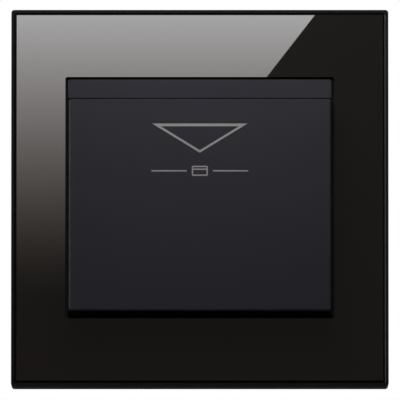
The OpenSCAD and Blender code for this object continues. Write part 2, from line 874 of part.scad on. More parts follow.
module rear_housing() {
    bore = screw_d + 2 * seat;
    color("#e4e2dc")
        difference() {
            union() {
                difference() {
                    between(0, housing_depth)
                        rounded_rect(housing_w, housing_h, housing_r);
                    between(chassis_t, housing_back)
                        square([housing_w - 2 * housing_wall, housing_h - 2 * housing_wall], center = true);
                    between(-over, chassis_t)
                        rounded_rect(chassis_w + 2 * chassis_clear, chassis_h + 2 * chassis_clear, housing_r);
                }
                intersection() {
                    at_corners(screw_x, screw_z)
                        rod_y(0, 0, chassis_t, housing_back + lap, pillar_d);
                    between(chassis_t, housing_depth)
                        square([housing_w - housing_wall, housing_h - housing_wall], center = true);
                }
                for (s = [-1, 1])
                    rod_y(s * post_x, 0, board_back, housing_back + lap, post_d);
            }
            at_corners(screw_x, screw_z)
                rod_y(0, 0, chassis_t - over, screw_l + over, bore);
            for (s = [-1, 1])
                rod_y(s * post_x, 0, board_back - over, board_back + screw_l, bore);
            for (x = terminal_x) {
                rod_y(x, terminal_z0 + cage_l / 2, housing_back - over, housing_depth + over, driver_d);
                block(
                    [x - wire_hole / 2, wire_y - wire_hole / 2, -housing_h / 2 - over],
                    [x + wire_hole / 2, wire_y + wire_hole / 2, -housing_h / 2 + housing_wall + over]
                );
            }
        }
}

module card_lever() {
    hub_x0 = -lever_w / 2;
    arm_clear = 0.4;
    arm_set = hub_d / 2 + arm_clear;
    lug_h = spring_r - spring_wire / 2 - lever_t / 2 - button_gap;
    color("#3a3a3e")
        translate([0, lever_y, lever_z])
            rotate([-lever_half, 0, 0])
                difference() {
                    union() {
                        rod_x(hub_x0, hub_end, 0, 0, hub_d);
                        block([hub_x0, -arm_l, -lever_t / 2], [hub_end, 0, lever_t / 2]);
                        block([hub_x0, -arm_l, -lever_t / 2], [-hub_x0, -arm_set, lever_t / 2]);
                        block(
                            [hub_end, -lug_set - lug_w, -lever_t / 2 - lug_h],
                            [-hub_x0, -lug_set, 0]
                        );
                        rod_x(-nose_w / 2, nose_w / 2, 0, -nose_arm, 2 * nose_r);
                        block([-nose_w / 2, -nose_r, -nose_arm], [nose_w / 2, 0, 0]);
                    }
                    rod_x(hub_x0 - over, hub_end + over, 0, 0, pin_d + 2 * pin_clear);
                }
}

module lever_pin() {
    color("#c9cbcd")
        rod_x(-ear_x - ear_t, ear_x + ear_t, lever_y, lever_z, pin_d);
}

// Tube of six sides swept along the spring's path
module lever_spring() {
    sides = 6;
    path = spring_path();
    last = len(path) - 1;
    rings = [
        for (i = [0 : last])
            let (
                ahead = path[min(i + 1, last)] - path[max(i - 1, 0)],
                t = ahead / norm(ahead),
                u0 = cross(t, [1, 0, 0]),
                u = u0 / norm(u0),
                v = cross(t, u)
            )
            [for (k = [0 : sides - 1])
                path[i] + spring_wire / 2 * (u * cos(360 * k / sides) + v * sin(360 * k / sides))]
    ];
    points = [for (ring = rings, p = ring) p];
    sides_faces = [
        for (i = [0 : last - 1], k = [0 : sides - 1], half = [0, 1])
            let (
                a = i * sides + k,
                b = i * sides + (k + 1) % sides
            )
            half == 0 ? [a, a + sides, b] : [b, a + sides, b + sides]
    ];
    start_cap = [for (k = [1 : sides - 2]) [0, k, k + 1]];
    end_cap = [for (k = [1 : sides - 2]) [last * sides, last * sides + k + 1, last * sides + k]];
    color("#b4b6b8")
        polyhedron(points, concat(start_cap, sides_faces, end_cap), convexity = 6);
}

module switch_case() {
    lid_z = switch_z0 + switch_wall;
    hole = seat + lap;
    floor_y = switch_back - switch_floor;
    color("#24272c")
        difference() {
            block([switch_x0, switch_y, lid_z], [switch_x1, switch_back, switch_z1]);
            block(
                [switch_x0 + switch_wall, switch_y + switch_wall, lid_z - over],
                [switch_x1 - switch_wall, floor_y, switch_z1 - switch_wall]
            );
            block(
                [-button_w / 2 - hole, switch_y - over, switch_z - button_t / 2 - hole],
                [button_w / 2 + hole, switch_y + switch_wall + over, switch_z + button_t / 2 + hole]
            );
            for (p = switch_leads)
                rod_y(p[0], p[1], floor_y - over, switch_back + over, lead_d + 2 * lead_clear);
        }
}

module switch_lid() {
    color("#2b2f35")
        block(
            [switch_x0, switch_y, switch_z0],
            [switch_x1, switch_back, switch_z0 + switch_wall]
        );
}

module switch_button() {
    collar_t = 0.6;
    collar = 0.6;
    nib = 0.4;
    collar_y = switch_y + switch_wall + seat;
    color("#d24a32") {
        block(
            [-button_w / 2, button_y, switch_z - button_t / 2],
            [button_w / 2, collar_y + collar_t, switch_z + button_t / 2]
        );
        block(
            [-button_w / 2 - collar, collar_y, switch_z - button_t / 2 - collar],
            [button_w / 2 + collar, collar_y + collar_t, switch_z + button_t / 2 + collar]
        );
        block(
            [-nib, collar_y, switch_z - button_t / 2],
            [nib, blade_y - contact_gap, switch_z + button_t / 2]
        );
    }
}

module switch_blade() {
    color("#c58f4a") {
        block(
            [-blade_arm, blade_y, switch_z - blade_w / 2],
            [blade_reach + rivet_d / 2, blade_y + blade_t, switch_z + blade_w / 2]
        );
        translate([-blade_arm, blade_y + blade_t / 2, switch_z - blade_w / 2])
            cylinder(d = barrel_d, h = blade_w);
        rod_y(blade_reach, switch_z, blade_y - rivet_out, blade_y + blade_t + rivet_out, rivet_d);
    }
}

module switch_contacts() {
    post_half = 0.8;
    floor_y = switch_back - switch_floor;
    foot_t = 0.5;
    nc_y = blade_y - rivet_out - contact_gap;
    no_y = blade_y + blade_t + rivet_out + tip_travel + contact_gap;
    com_y = blade_y + blade_t / 2 + barrel_d / 2 + contact_gap;
    color("#c9a86a") {
        block(
            [-blade_arm - post_half, com_y, switch_z - blade_w / 2],
            [-blade_arm + post_half, floor_y, switch_z + blade_w / 2]
        );
        block(
            [blade_reach - post_half, no_y, switch_z - post_half],
            [blade_reach + post_half, floor_y, switch_z + post_half]
        );
        block(
            [blade_reach - post_half, nc_y - foot_t, switch_z - blade_w / 2],
            [nc_x, nc_y, switch_z + blade_w / 2]
        );
        block(
            [nc_x - terminal_strip, nc_y - foot_t, switch_z - blade_w / 2],
            [nc_x, floor_y, switch_z + blade_w / 2]
        );
        leads(switch_leads, floor_y - lap, board_back - seat);
    }
}

module circuit_board() {
    notch = pillar_d / 2 + board_clear;
    color("#1f6b45")
        difference() {
            between(board_y, board_back)
                square([board_w, board_h], center = true);
            at_corners(screw_x, screw_z)
                rod_y(0, 0, board_y - over, board_back + over, 2 * notch);
            for (s = [-1, 1])
                rod_y(s * post_x, 0, board_y - over, board_back + over, screw_d + 2 * screw_clear);
            for (p = all_leads)
                rod_y(p[0], p[1], board_y - over, board_back + over, lead_d + 2 * lead_clear);
        }
}

module board_screws() {
    head_t = 1.6;
    slot_w = 0.7;
    color("#c9c4b4")
        for (s = [-1, 1])
            translate([s * post_x, 0, 0])
                difference() {
                    union() {
                        rod_y(0, 0, board_y - head_t, board_y, board_screw_head_d);
                        rod_y(0, 0, board_y - lap, board_back + screw_l - over, screw_d);
                    }
                    driver_slot(board_y - head_t, board_screw_head_d, slot_w);
                }
}

module terminal_block() {
    half = cage_w / 2 + cage_clear;
    color("#3f6f9a")
        difference() {
            block(
                [-terminal_w / 2, board_back, terminal_z0],
                [terminal_w / 2, board_back + terminal_h, terminal_z1]
            );
            for (x = terminal_x) {
                block(
                    [x - half, cage_pocket_y, terminal_z0 - over],
                    [x + half, cage_pocket_y + 2 * half, terminal_z0 + cage_l]
                );
                translate([x, 0, terminal_z0 + cage_l / 2]) {
                    rod_y(0, 0, cage_y1, board_back + terminal_h + over, terminal_head_d + 4 * cage_clear);
                    rod_y(0, 0, board_back - over, cage_pocket_y + over, lead_d + 2 * lead_clear);
                }
            }
        }
}

module terminal_cages() {
    back_wall = 1.8;
    color("#c8a24e") {
        for (x = terminal_x)
            difference() {
                block(
                    [x - cage_w / 2, cage_y0, terminal_z0],
                    [x + cage_w / 2, cage_y1, terminal_z0 + cage_l - cage_clear]
                );
                block(
                    [x - cage_w / 2 + cage_wall, cage_y0 + cage_wall, terminal_z0 - over],
                    [x + cage_w / 2 - cage_wall, cage_y1 - back_wall, terminal_z1 + over]
                );
                rod_y(
                    x, terminal_z0 + cage_l / 2, cage_y1 - back_wall - over, cage_y1 + over,
                    terminal_screw_d + 2 * seat
                );
            }
        leads(terminal_leads, board_y + seat, cage_y0 + lap);
    }
}

module terminal_screws() {
    head_t = 1.7;
    slot_w = 0.9;
    head_y = cage_y1 + cage_clear;
    color("#d3c9a8")
        for (x = terminal_x)
            translate([x, 0, terminal_z0 + cage_l / 2])
                difference() {
                    union() {
                        rod_y(0, 0, cage_y0 + cage_wall + screw_tip, head_y + lap, terminal_screw_d);
                        rod_y(0, 0, head_y, head_y + head_t, terminal_head_d);
                    }
                    driver_slot(head_y + head_t, terminal_head_d, slot_w);
                }
}

module relay_base() {
    color("#2a2d33")
        difference() {
            block(
                [relay_x0 + relay_in, board_back, relay_z - relay_w / 2 + relay_in],
                [relay_x1 - relay_in, relay_floor, relay_z + relay_w / 2 - relay_in]
            );
            for (p = relay_leads)
                rod_y(p[0], p[1], board_back - over, relay_floor + over, lead_d + 2 * lead_clear);
        }
}

module relay_case() {
    color("#1d4f8c")
        difference() {
            block(
                [relay_x0, board_back, relay_z - relay_w / 2],
                [relay_x1, board_back + relay_h, relay_z + relay_w / 2]
            );
            block(
                [relay_x0 + relay_wall, board_back - over, relay_z - relay_w / 2 + relay_wall],
                [relay_x1 - relay_wall, board_back + relay_h - relay_wall, relay_z + relay_w / 2 - relay_wall]
            );
        }
}

module relay_coil() {
    half = coil_flange / 2;
    color("#a5552a")
        difference() {
            union() {
                rod_x(coil_x0 + seat, coil_x1, coil_y, relay_z, coil_d);
                for (x = [coil_x0 + seat, coil_x1 - flange_t])
                    block([x, coil_y - half, relay_z - half], [x + flange_t, coil_y + half, relay_z + half]);
                for (s = [-1, 1])
                    rod_y(coil_lead_x, relay_z + s * coil_lead_z, board_y - lead_tail, coil_y, lead_d);
            }
            rod_x(coil_x0 - over, coil_x1 + over, coil_y, relay_z, core_d + 2 * seat);
        }
}

module relay_yoke() {
    half = yoke_w / 2;
    color("#9a9da0") {
        block(
            [coil_x0 - yoke_t, relay_floor, relay_z - half],
            [coil_x0, yoke_y + yoke_t, relay_z + half]
        );
        block(
            [coil_x0 - yoke_t, yoke_y, relay_z - half],
            [armature_x - armature_pivot / 2 - lap, yoke_y + yoke_t, relay_z + half]
        );
        rod_x(coil_x0 - lap, coil_x1 + yoke_seat, coil_y, relay_z, core_d);
    }
}

module relay_armature() {
    half = yoke_w / 2;
    leaf_half = 2;
    leaf_l = 5;
    spacer_l = 2;
    leaf_top = leaf_y + leaf_l;
    color("#a8abad") {
        block(
            [armature_x, relay_floor + armature_rise, relay_z - half],
            [armature_x + yoke_t, hinge_y, relay_z + half]
        );
        translate([armature_x, hinge_y, relay_z - half])
            cylinder(d = armature_pivot, h = yoke_w);
        block(
            [armature_x + yoke_t - lap, leaf_top - spacer_l, relay_z - leaf_half],
            [leaf_x + lap, leaf_top, relay_z + leaf_half]
        );
        block(
            [leaf_x, leaf_y - rivet_d / 2, relay_z - leaf_half],
            [leaf_x + leaf_t, leaf_top, relay_z + leaf_half]
        );
        rod_x(leaf_x - relay_rivet, leaf_x + leaf_t + relay_rivet, leaf_y, relay_z, rivet_d);
    }
}

module relay_contacts() {
    half = 1;
    color("#c9a86a") {
        for (x = [pull_x, rest_x])
            block([x, relay_floor, relay_z - half], [x + relay_post, leaf_y + half, relay_z + half]);
        leads([relay_leads[2], relay_leads[3]], board_y - lead_tail, relay_floor + lap);
    }
}

module film_capacitor() {
    color("#b8452f") {
        block(
            [film_x - film_l / 2, board_back, film_z - film_t / 2],
            [film_x + film_l / 2, board_back + film_h, film_z + film_t / 2]
        );
        back_leads(film_leads, board_back);
    }
}

module electrolytic_capacitor() {
    color("#2b3a55") {
        rod_y(can_x, film_z, board_back, board_back + can_h, can_d);
        back_leads(can_leads, board_back);
    }
}

module varistor() {
    color("#2f63a8") {
        rod_x(
            varistor_x - varistor_t / 2, varistor_x + varistor_t / 2,
            board_back + varistor_foot + varistor_d / 2, film_z, varistor_d
        );
        back_leads(varistor_leads, board_back + varistor_foot + varistor_d / 2);
    }
}

module fuse() {
    fuse_y = board_back + fuse_d / 2 + seat;
    color("#d8d2c0") {
        rod_x(fuse_x - fuse_l / 2, fuse_x + fuse_l / 2, fuse_y, fuse_z, fuse_d);
        rod_x(fuse_leads[0][0], fuse_leads[1][0], fuse_y, fuse_z, lead_d);
        back_leads(fuse_leads, fuse_y);
    }
}

// Moulded package on the back of the board
module package(x) {
    block(
        [x - chip_l / 2, board_back + seat, chip_z - chip_w / 2],
        [x + chip_l / 2, board_back + seat + chip_h, chip_z + chip_w / 2]
    );
}

module rectifier() {
    color("#26272a") {
        package(rectifier_x);
        back_leads(rectifier_leads, board_back + seat);
    }
}

module timer_chip() {
    color("#1e1f22") {
        package(chip_x);
        back_leads(chip_leads, board_back + seat);
    }
}

glass_panel();
glass_tape();
panel_frame();
front_cover();
pocket_plate();
mounting_strap();
strap_screws();
earth_washer();
earth_screw();
chassis();
rear_housing();
card_lever();
lever_pin();
lever_spring();
switch_case();
switch_lid();
switch_button();
switch_blade();
switch_contacts();
circuit_board();
board_screws();
terminal_block();
terminal_cages();
terminal_screws();
relay_base();
relay_case();
relay_coil();
relay_yoke();
relay_armature();
relay_contacts();
film_capacitor();
electrolytic_capacitor();
fuse();
varistor();
rectifier();
timer_chip();
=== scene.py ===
"""Dresses a hotel key card switch: a black glass wall plate with a raised card pocket.

Run as a script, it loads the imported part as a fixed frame, models the pieces that show, gives every
piece its finish and sets up the studio. Lengths are in metres. X runs to the right, the front faces
-Y and Z is up.
"""

import json
import math

import bmesh
import bpy
from bpy.props import FloatProperty, FloatVectorProperty, IntProperty, PointerProperty
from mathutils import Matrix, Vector

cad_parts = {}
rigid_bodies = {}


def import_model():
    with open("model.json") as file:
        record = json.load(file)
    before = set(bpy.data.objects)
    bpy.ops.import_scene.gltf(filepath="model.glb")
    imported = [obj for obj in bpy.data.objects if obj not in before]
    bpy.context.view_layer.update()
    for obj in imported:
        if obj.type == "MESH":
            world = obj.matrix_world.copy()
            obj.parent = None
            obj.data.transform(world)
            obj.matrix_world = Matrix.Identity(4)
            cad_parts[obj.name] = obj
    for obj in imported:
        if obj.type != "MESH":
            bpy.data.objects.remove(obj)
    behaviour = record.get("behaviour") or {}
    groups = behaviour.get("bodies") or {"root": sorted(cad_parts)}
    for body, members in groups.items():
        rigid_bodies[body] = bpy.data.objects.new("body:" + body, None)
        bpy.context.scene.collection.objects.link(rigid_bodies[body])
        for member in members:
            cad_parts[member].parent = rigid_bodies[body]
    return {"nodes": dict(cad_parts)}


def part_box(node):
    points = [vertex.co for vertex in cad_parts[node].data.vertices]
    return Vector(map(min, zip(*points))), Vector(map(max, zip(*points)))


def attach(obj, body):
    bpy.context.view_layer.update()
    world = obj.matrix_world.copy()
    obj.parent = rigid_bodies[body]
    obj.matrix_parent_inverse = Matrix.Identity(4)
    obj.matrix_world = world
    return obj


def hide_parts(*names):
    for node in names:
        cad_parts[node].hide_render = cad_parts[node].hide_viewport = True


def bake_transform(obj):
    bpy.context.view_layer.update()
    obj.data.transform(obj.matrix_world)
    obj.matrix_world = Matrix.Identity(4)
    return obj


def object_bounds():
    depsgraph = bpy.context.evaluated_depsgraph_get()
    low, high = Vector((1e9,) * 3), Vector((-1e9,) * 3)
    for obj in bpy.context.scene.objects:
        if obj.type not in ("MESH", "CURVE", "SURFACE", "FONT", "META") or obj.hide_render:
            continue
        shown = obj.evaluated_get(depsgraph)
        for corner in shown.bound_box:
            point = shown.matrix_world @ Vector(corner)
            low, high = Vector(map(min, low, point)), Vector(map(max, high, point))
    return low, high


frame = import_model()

bl_info = {
    "name": "Key Card Switch",
    "version": (1, 0, 0),
    "blender": (4, 5, 0),
    "location": "View3D > Sidebar > Card Switch",
    "description": "Models and finishes a glass fronted hotel key card switch",
    "category": "Add Mesh",
}

MM = 0.001
WHITE = (1, 1, 1, 1)

# The turn that makes a flat primitive face the front
FRONT_VIEW = (math.pi / 2, 0, 0)

# How near two points count as one, and how near a point counts as on a face
NEAR = 0.002 * MM
ON_FACE = 0.03 * MM

# Degrees from which an edge is sharp, steps across an eased edge, and sides of a round bar
SHARP = 40
EASE_STEPS = 2
ROD_SIDES = 32

# Places that the frame gives
CAD_LO, CAD_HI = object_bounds()
GLASS_LO, GLASS_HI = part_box("glass_panel")
FRAME_LO, FRAME_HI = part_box("panel_frame")
COVER_LO, COVER_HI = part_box("front_cover")
PLATE_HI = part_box("pocket_plate")[1]
TAPE_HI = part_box("glass_tape")[1]
STRAP_LO, STRAP_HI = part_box("mounting_strap")
HOUSING_LO, HOUSING_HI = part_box("rear_housing")
EARTH_LO, EARTH_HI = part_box("earth_washer")

# Finishes of plastics: roughness, grain and its depth in millimetres, specular level
PLASTICS = {
    "polycarbonate_satin_moulded": (0.32, 0.3, 0.003, 0.2),
    "polycarbonate_spark_textured": (0.34, 0.25, 0.008, 0.15),
    "polycarbonate_fine_textured": (0.36, 0.25, 0.008, 0.15),
    "urea_moulded_off_white": (0.4, 0.5, 0.006, 0.5),
    "nylon_moulded_natural": (0.42, 0.5, 0.006, 0.5),
    "acetal_moulded_dark": (0.3, 0.4, 0.003, 0.5),
    "polyethylene_foam_tape": (0.9, 0.3, 0.01, 0.5),
    "phenolic_moulded_black": (0.4, 0.3, 0.01, 0.5),
    "acetal_moulded_red": (0.35, 0.3, 0.01, 0.5),
    "polyamide_moulded_green": (0.4, 0.4, 0.01, 0.5),
    "polyester_moulded_blue": (0.35, 0.4, 0.01, 0.5),
    "epoxy_dipped_red": (0.3, 1.5, 0.01, 0.5),
    "epoxy_dipped_blue": (0.3, 1.5, 0.01, 0.5),
    "vinyl_sleeve_shrunk": (0.35, 1.2, 0.01, 0.5),
    "ceramic_glazed": (0.25, 0.8, 0.01, 0.5),
    "epoxy_moulded_matt": (0.55, 0.2, 0.01, 0.5),
}

# Finishes of metals: roughness, width of the streaks in millimetres
METALS = {
    "steel_zinc_plated_pressed": (0.38, 0.2),
    "steel_zinc_passivated": (0.35, 0.15),
    "brass_turned": (0.28, 0.15),
    "steel_ground_bright": (0.2, 0.1),
    "steel_spring_drawn": (0.3, 0.1),
    "silver_alloy_contact": (0.25, 0.1),
    "copper_alloy_rolled": (0.25, 0.1),
    "iron_nickel_plated": (0.35, 0.2),
}


def linear(code):
    """Linear RGB of an sRGB hex colour."""
    channels = [int(code[i:i + 2], 16) / 255 for i in (1, 3, 5)]
    return tuple(c / 12.92 if c <= 0.04045 else ((c + 0.055) / 1.055) ** 2.4 for c in channels)


def length(label, what, millimetres):
    """A length property, given in millimetres."""
    return FloatProperty(
        name=label, description=what, default=millimetres * MM, min=0, subtype="DISTANCE", unit="LENGTH"
    )


def tint(label, what, code):
    """A colour property, given as an sRGB hex code."""
    return FloatVectorProperty(
        name=label, description=what, default=linear(code), size=3, min=0, max=1, subtype="COLOR"
    )


class SwitchSizes(bpy.types.PropertyGroup):
    """Sizes of the modelled pieces that the frame doesn't give."""

    rim_w: length("Rim width", "Width of the plastic rim round the glass", 1.08)
    rim_round: length("Rim rounding", "Radius of the rim's outer edge", 0.08)
    rim_slope: length("Rim slope", "Width of the slope along the rim's inner edge", 0.45)
    rim_fall: length("Rim fall", "How far the slope along the rim's inner edge falls", 0.17)
    panel_corner: length("Panel corner", "Corner radius of the panel frame", 0.7)
    frame_wall: length("Frame wall", "Thickness of the frame's side walls", 2.2)
    web_t: length("Web", "Thickness of the frame's web behind the glass", 1.6)
    snap_w: length("Snap leg width", "Width of each snap leg", 8)
    snap_t: length("Snap leg", "Thickness of each snap leg", 1.6)
    snap_z: length("Snap leg place", "Height of the snap legs above and below the middle", 16)
    snap_reach: length("Snap hook", "How far each hook reaches into the strap", 1)
    snap_slot: length("Snap slot", "Depth of the hook", 1.2)
    snap_play: length("Snap play", "Gap between a snap leg and the strap", 0.2)
    glass_bevel: length("Glass bevel", "Polished bevel on the outer edge of the glass", 0.15)
    glass_arris: length("Glass arris", "Polished arris round the opening in the glass", 0.05)
    insert_gap: length("Insert gap", "Gap between the pocket plate and the glass", 0.55)
    web_gap: length("Web gap", "Gap between the pocket plate and the frame's web", 0.02)
    opening_corner: length("Opening corner", "Corner radius of the opening in the glass", 0.5)
    insert_corner: length("Insert corner", "Corner radius of the pocket plate", 0.6)
    cover_corner: length("Cover corner", "Corner radius of the cover in the front view", 0.6)
    cover_slope: length("Cover slope", "Width of the slope along the cover's front edges", 0.35)
    cover_fall: length("Cover fall", "How far the slope along the cover's front edges falls", 0.12)
    lip_edge: length("Lip edge", "Width of the slope along the cover's lip", 0.12)
    side_draft: length("Side draft", "How far each side of the cover leans in", 0.25)
    bottom_draft: length("Bottom draft", "How far the cover's underside leans in", 0.7)
    lip_round: length("Lip rounding", "Radius of the inner edge of the cover's lip", 0.5)
    cover_t: length("Cover wall", "Thickness of the cover's front wall", 1.7)
    floor_t: length("Cover floor", "Thickness of the cover's floor", 1.4)
    pocket_w: length("Pocket width", "Clear width of the card pocket", 55.6)
    pocket_wall: length("Pocket wall", "Thickness of the cover's side walls", 2.25)
    card_depth: length("Card depth", "How deep the card goes before it meets the stops", 35.8)
    stop_w: length("Stop width", "Width of each card stop", 2.4)
    stop_x: length("Stop place", "Distance of the card stops from the middle", 16)
    peg_d: length("Peg", "Diameter of the pegs behind the cover", 1.4)
    peg_l: length("Peg length", "Length of the pegs behind the cover", 1.5)
    peg_step: length("Peg step", "Distance between the pegs", 17)
    ink_t: length("Ink", "Thickness of the printed marks", 0.03)
    ink_stroke: length("Ink stroke", "Width of the arrow's slanting lines", 0.48)
    ink_bar: length("Ink bar", "Width of the arrow's top line", 0.62)
    ink_line: length("Ink line", "Width of the card sign's lines", 0.31)
    arrow_w: length("Arrow width", "Width of the printed arrow", 21.7)
    arrow_h: length("Arrow height", "Height of the printed arrow", 6.65)
    arrow_z: length("Arrow place", "Height of the arrow's top edge above the middle", 16.4)
    sign_w: length("Sign width", "Width of the printed card sign with its rules", 22)
    sign_h: length("Sign height", "Height of the printed card sign", 2.3)
    sign_z: length("Sign place", "Height of the card sign above the middle", 5.6)
    edge_ease: length("Edge easing", "Rounding of moulded and pressed edges", 0.15)
    spring_wire: length("Spring wire", "Thickness of the spring's wire", 0.4)
    housing_round: length("Housing rounding", "Rounding of the housing's back edges", 0.8)
    hole_pitch: length("Hole pitch", "Distance between the screwdriver holes in the housing", 10)
    hole_d: length("Hole", "Diameter of the screwdriver holes in the housing", 5.6)
    hole_z: length("Hole place", "How far below the middle the screwdriver holes are", 21.8)
    label_w: length("Label width", "Width of the sunk field on the housing's back", 30)
    label_h: length("Label height", "Height of the sunk field on the housing's back", 18)
    label_z: length("Label place", "Height of the sunk field above the middle", 5)
    label_corner: length("Label corner", "Corner radius of the sunk field", 1)
    label_deep: length("Label depth", "Depth of the sunk field", 0.8)
    dot_d: length("Dot", "Diameter of the dots that number the terminals", 1.8)
    dot_step: length("Dot step", "Distance between the dots that number a terminal", 2.7)
    dot_rise: length("Dot place", "Height of the dots above a hole's middle", 5)
    dot_deep: length("Dot depth", "Depth of the dots", 0.8)
    pin_d: length("Pin mark", "Diameter of the marks that the mould's ejector pins leave", 4)
    pin_set: length("Pin mark place", "Distance of the pin marks from the housing's sides", 5.5)
    pin_deep: length("Pin mark depth", "Depth of the pin marks", 0.25)
    groove_w: length("Groove width", "Width of each grip groove in the housing's sides", 1.2)
    groove_l: length("Groove length", "Length of each grip groove", 14)
    groove_step: length("Groove step", "Distance between the grip grooves", 3)
    groove_deep: length("Groove depth", "Depth of the grip grooves", 0.7)
    stamp_w: length("Stamp width", "Width of the earth sign in the strap", 6)
    stamp_stroke: length("Stamp stroke", "Width of the earth sign's lines", 0.7)
    stamp_deep: length("Stamp depth", "Depth of the earth sign", 0.2)
    corner_steps: IntProperty(name="Corner steps", description="Steps round a corner", default=8, min=2)
    round_steps: IntProperty(name="Round steps", description="Steps across a rounding", default=4, min=1)


class SwitchColours(bpy.types.PropertyGroup):
    """Colours of the pieces."""

    glass: tint("Glass", "Paint seen through the glass", "#0d0b07")
    rim: tint("Rim", "Plastic of the panel frame", "#09090a")
    cover: tint("Cover", "Plastic of the card pocket", "#28272d")
    ink: tint("Ink", "Printed marks", "#827f7c")
    tape: tint("Tape", "Foam tape behind the glass", "#2a2a2a")
    housing: tint("Housing", "Plastic of the rear housing", "#e4e2dc")
    chassis: tint("Chassis", "Plastic of the chassis", "#d8d5cc")
    strap: tint("Strap", "Zinc plate on the mounting strap", "#b9bbbd")
    screw: tint("Screws", "Passivated zinc on the screws", "#c9c4b4")
    brass: tint("Brass", "Brass of the earth terminal and the cages", "#c8a95c")
    steel: tint("Steel", "Bare steel of the pin and the spring", "#c4c6c8")
    switch: tint("Micro switch", "Case of the micro switch", "#1d1d20")
    button: tint("Button", "Button of the micro switch", "#b4261f")
    silver: tint("Silver", "Plated contacts", "#d9d5cb")
    copper: tint("Copper", "Copper blade and winding", "#b87245")
    board: tint("Board", "Resist on the circuit board", "#1f5c3a")
    terminal: tint("Terminals", "Plastic of the terminal block", "#2f6f4d")
    relay: tint("Relay", "Plastic of the relay", "#23466f")
    iron: tint("Iron", "Nickel plate on the relay's iron", "#a9a7a1")
    film: tint("Film capacitor", "Dipped coat of the film capacitor", "#8c2f22")
    sleeve: tint("Capacitor sleeve", "Shrunk sleeve of the can capacitor", "#22262f")
    varistor: tint("Varistor", "Dipped coat of the varistor", "#2f5f9c")
    fuse: tint("Fuse", "Glazed body of the fuse", "#d8cfbb")
    chip: tint("Chip", "Moulded body of the chips", "#1b1b1c")
    floor: tint("Floor", "Studio floor", "#f2f2f2")


def add(tree, kind, inputs=None, **settings):
    """Adds a node. An input is a value, a socket, or a node whose first output feeds it."""
    made = tree.nodes.new(kind)
    for key, value in settings.items():
        setattr(made, key, value)
    for key, value in (inputs or {}).items():
        if isinstance(value, bpy.types.Node):
            value = value.outputs[0]
        if isinstance(value, bpy.types.NodeSocket):
            tree.links.new(value, made.inputs[key])
        else:
            made.inputs[key].default_value = value
    return made


def open_material(name):
    """A material with an empty node tree, and the socket of the piece's own coordinates."""
    material = bpy.data.materials.new(name)
    material.use_nodes = True
    tree = material.node_tree
    tree.nodes.clear()
    return material, tree, add(tree, "ShaderNodeTexCoord").outputs["Object"]


def per(millimetres):
    """Scale of a pattern whose features are that many millimetres across."""
    return 1 / (millimetres * MM)


def close_material(tree, colour, pattern, shift, inputs):
    """Ends a material: a colour that a pattern darkens and lightens, and the shader's other inputs."""
    dark, light = shift
    value = add(tree, "ShaderNodeMapRange", {"Value": pattern, "To Min": dark, "To Max": light})
    body = add(tree, "ShaderNodeHueSaturation", {"Color": (*colour, 1), "Value": value})
    shader = add(tree, "ShaderNodeBsdfPrincipled", {"Base Color": body, **inputs})
    add(tree, "ShaderNodeOutputMaterial", {"Surface": shader})


def painted_glass(colour):
    """Float glass painted black on its back: a mirror face, dulled a little by wiping."""
    smear_mm = 9
    material, tree, spot = open_material("float_glass_back_painted")
    smear = add(tree, "ShaderNodeTexNoise", {"Vector": spot, "Scale": per(smear_mm), "Detail": 4})
    polish = add(tree, "ShaderNodeMapRange", {"Value": smear, "To Min": 0.002, "To Max": 0.008})
    close_material(tree, colour, smear, (0.95, 1.05), {"Roughness": polish, "IOR": 1.52})
    return material


def moulded_plastic(name, colour):
    """Injection moulded plastic: an even colour with a faint flow, and the grain of the tool.

    The real grain is too fine to show in the render, so it is drawn coarser.
    """
    roughness, grain_mm, grain_deep_mm, specular = PLASTICS[name]
    flow_mm = 14
    material, tree, spot = open_material(name)
    grain = add(tree, "ShaderNodeTexNoise", {"Vector": spot, "Scale": per(grain_mm), "Detail": 3})
    flow = add(tree, "ShaderNodeTexNoise", {"Vector": spot, "Scale": per(flow_mm), "Detail": 2})
    gloss = add(tree, "ShaderNodeMapRange", {
        "Value": grain, "To Min": 0.85 * roughness, "To Max": 1.15 * roughness,
    })
    relief = add(tree, "ShaderNodeBump", {"Height": grain, "Distance": grain_deep_mm * MM})
    close_material(tree, colour, flow, (0.94, 1.06), {
        "Roughness": gloss, "Normal": relief, "IOR": 1.5, "Specular IOR Level": specular,
    })
    return material


def plated_metal(name, colour):
    """Rolled or drawn metal, plated: fine streaks along X under a slightly cloudy coat.

    The real streaks are too fine to show in the render, so they are drawn coarser.
    """
    roughness, streak_mm = METALS[name]
    streak_deep_mm = 0.004
    stretch = 20
    cloud_mm = 3
    material, tree, spot = open_material(name)
    drawn = add(tree, "ShaderNodeMapping", {"Vector": spot, "Scale": (1 / stretch, 1, 1)})
    streak = add(tree, "ShaderNodeTexNoise", {"Vector": drawn, "Scale": per(streak_mm), "Detail": 3})
    cloud = add(tree, "ShaderNodeTexNoise", {"Vector": spot, "Scale": per(cloud_mm), "Detail": 2})
    gloss = add(tree, "ShaderNodeMapRange", {
        "Value": streak, "To Min": 0.75 * roughness, "To Max": 1.3 * roughness,
    })
    relief = add(tree, "ShaderNodeBump", {"Height": streak, "Distance": streak_deep_mm * MM})
    close_material(tree, colour, cloud, (0.92, 1.08), {
        "Metallic": 1.0, "Roughness": gloss, "Normal": relief,
    })
    return material


def printed_ink(colour):
    """Pad printed ink: thin and matt, with a slightly uneven cover."""
    patch_mm = 0.4
    material, tree, spot = open_material("ink_pad_printed")
    patch = add(tree, "ShaderNodeTexNoise", {"Vector": spot, "Scale": per(patch_mm), "Detail": 3})
    matt = add(tree, "ShaderNodeMapRange", {"Value": patch, "To Min": 0.5, "To Max": 0.65})
    close_material(tree, colour, patch, (0.9, 1.1), {"Roughness": matt})
    return material


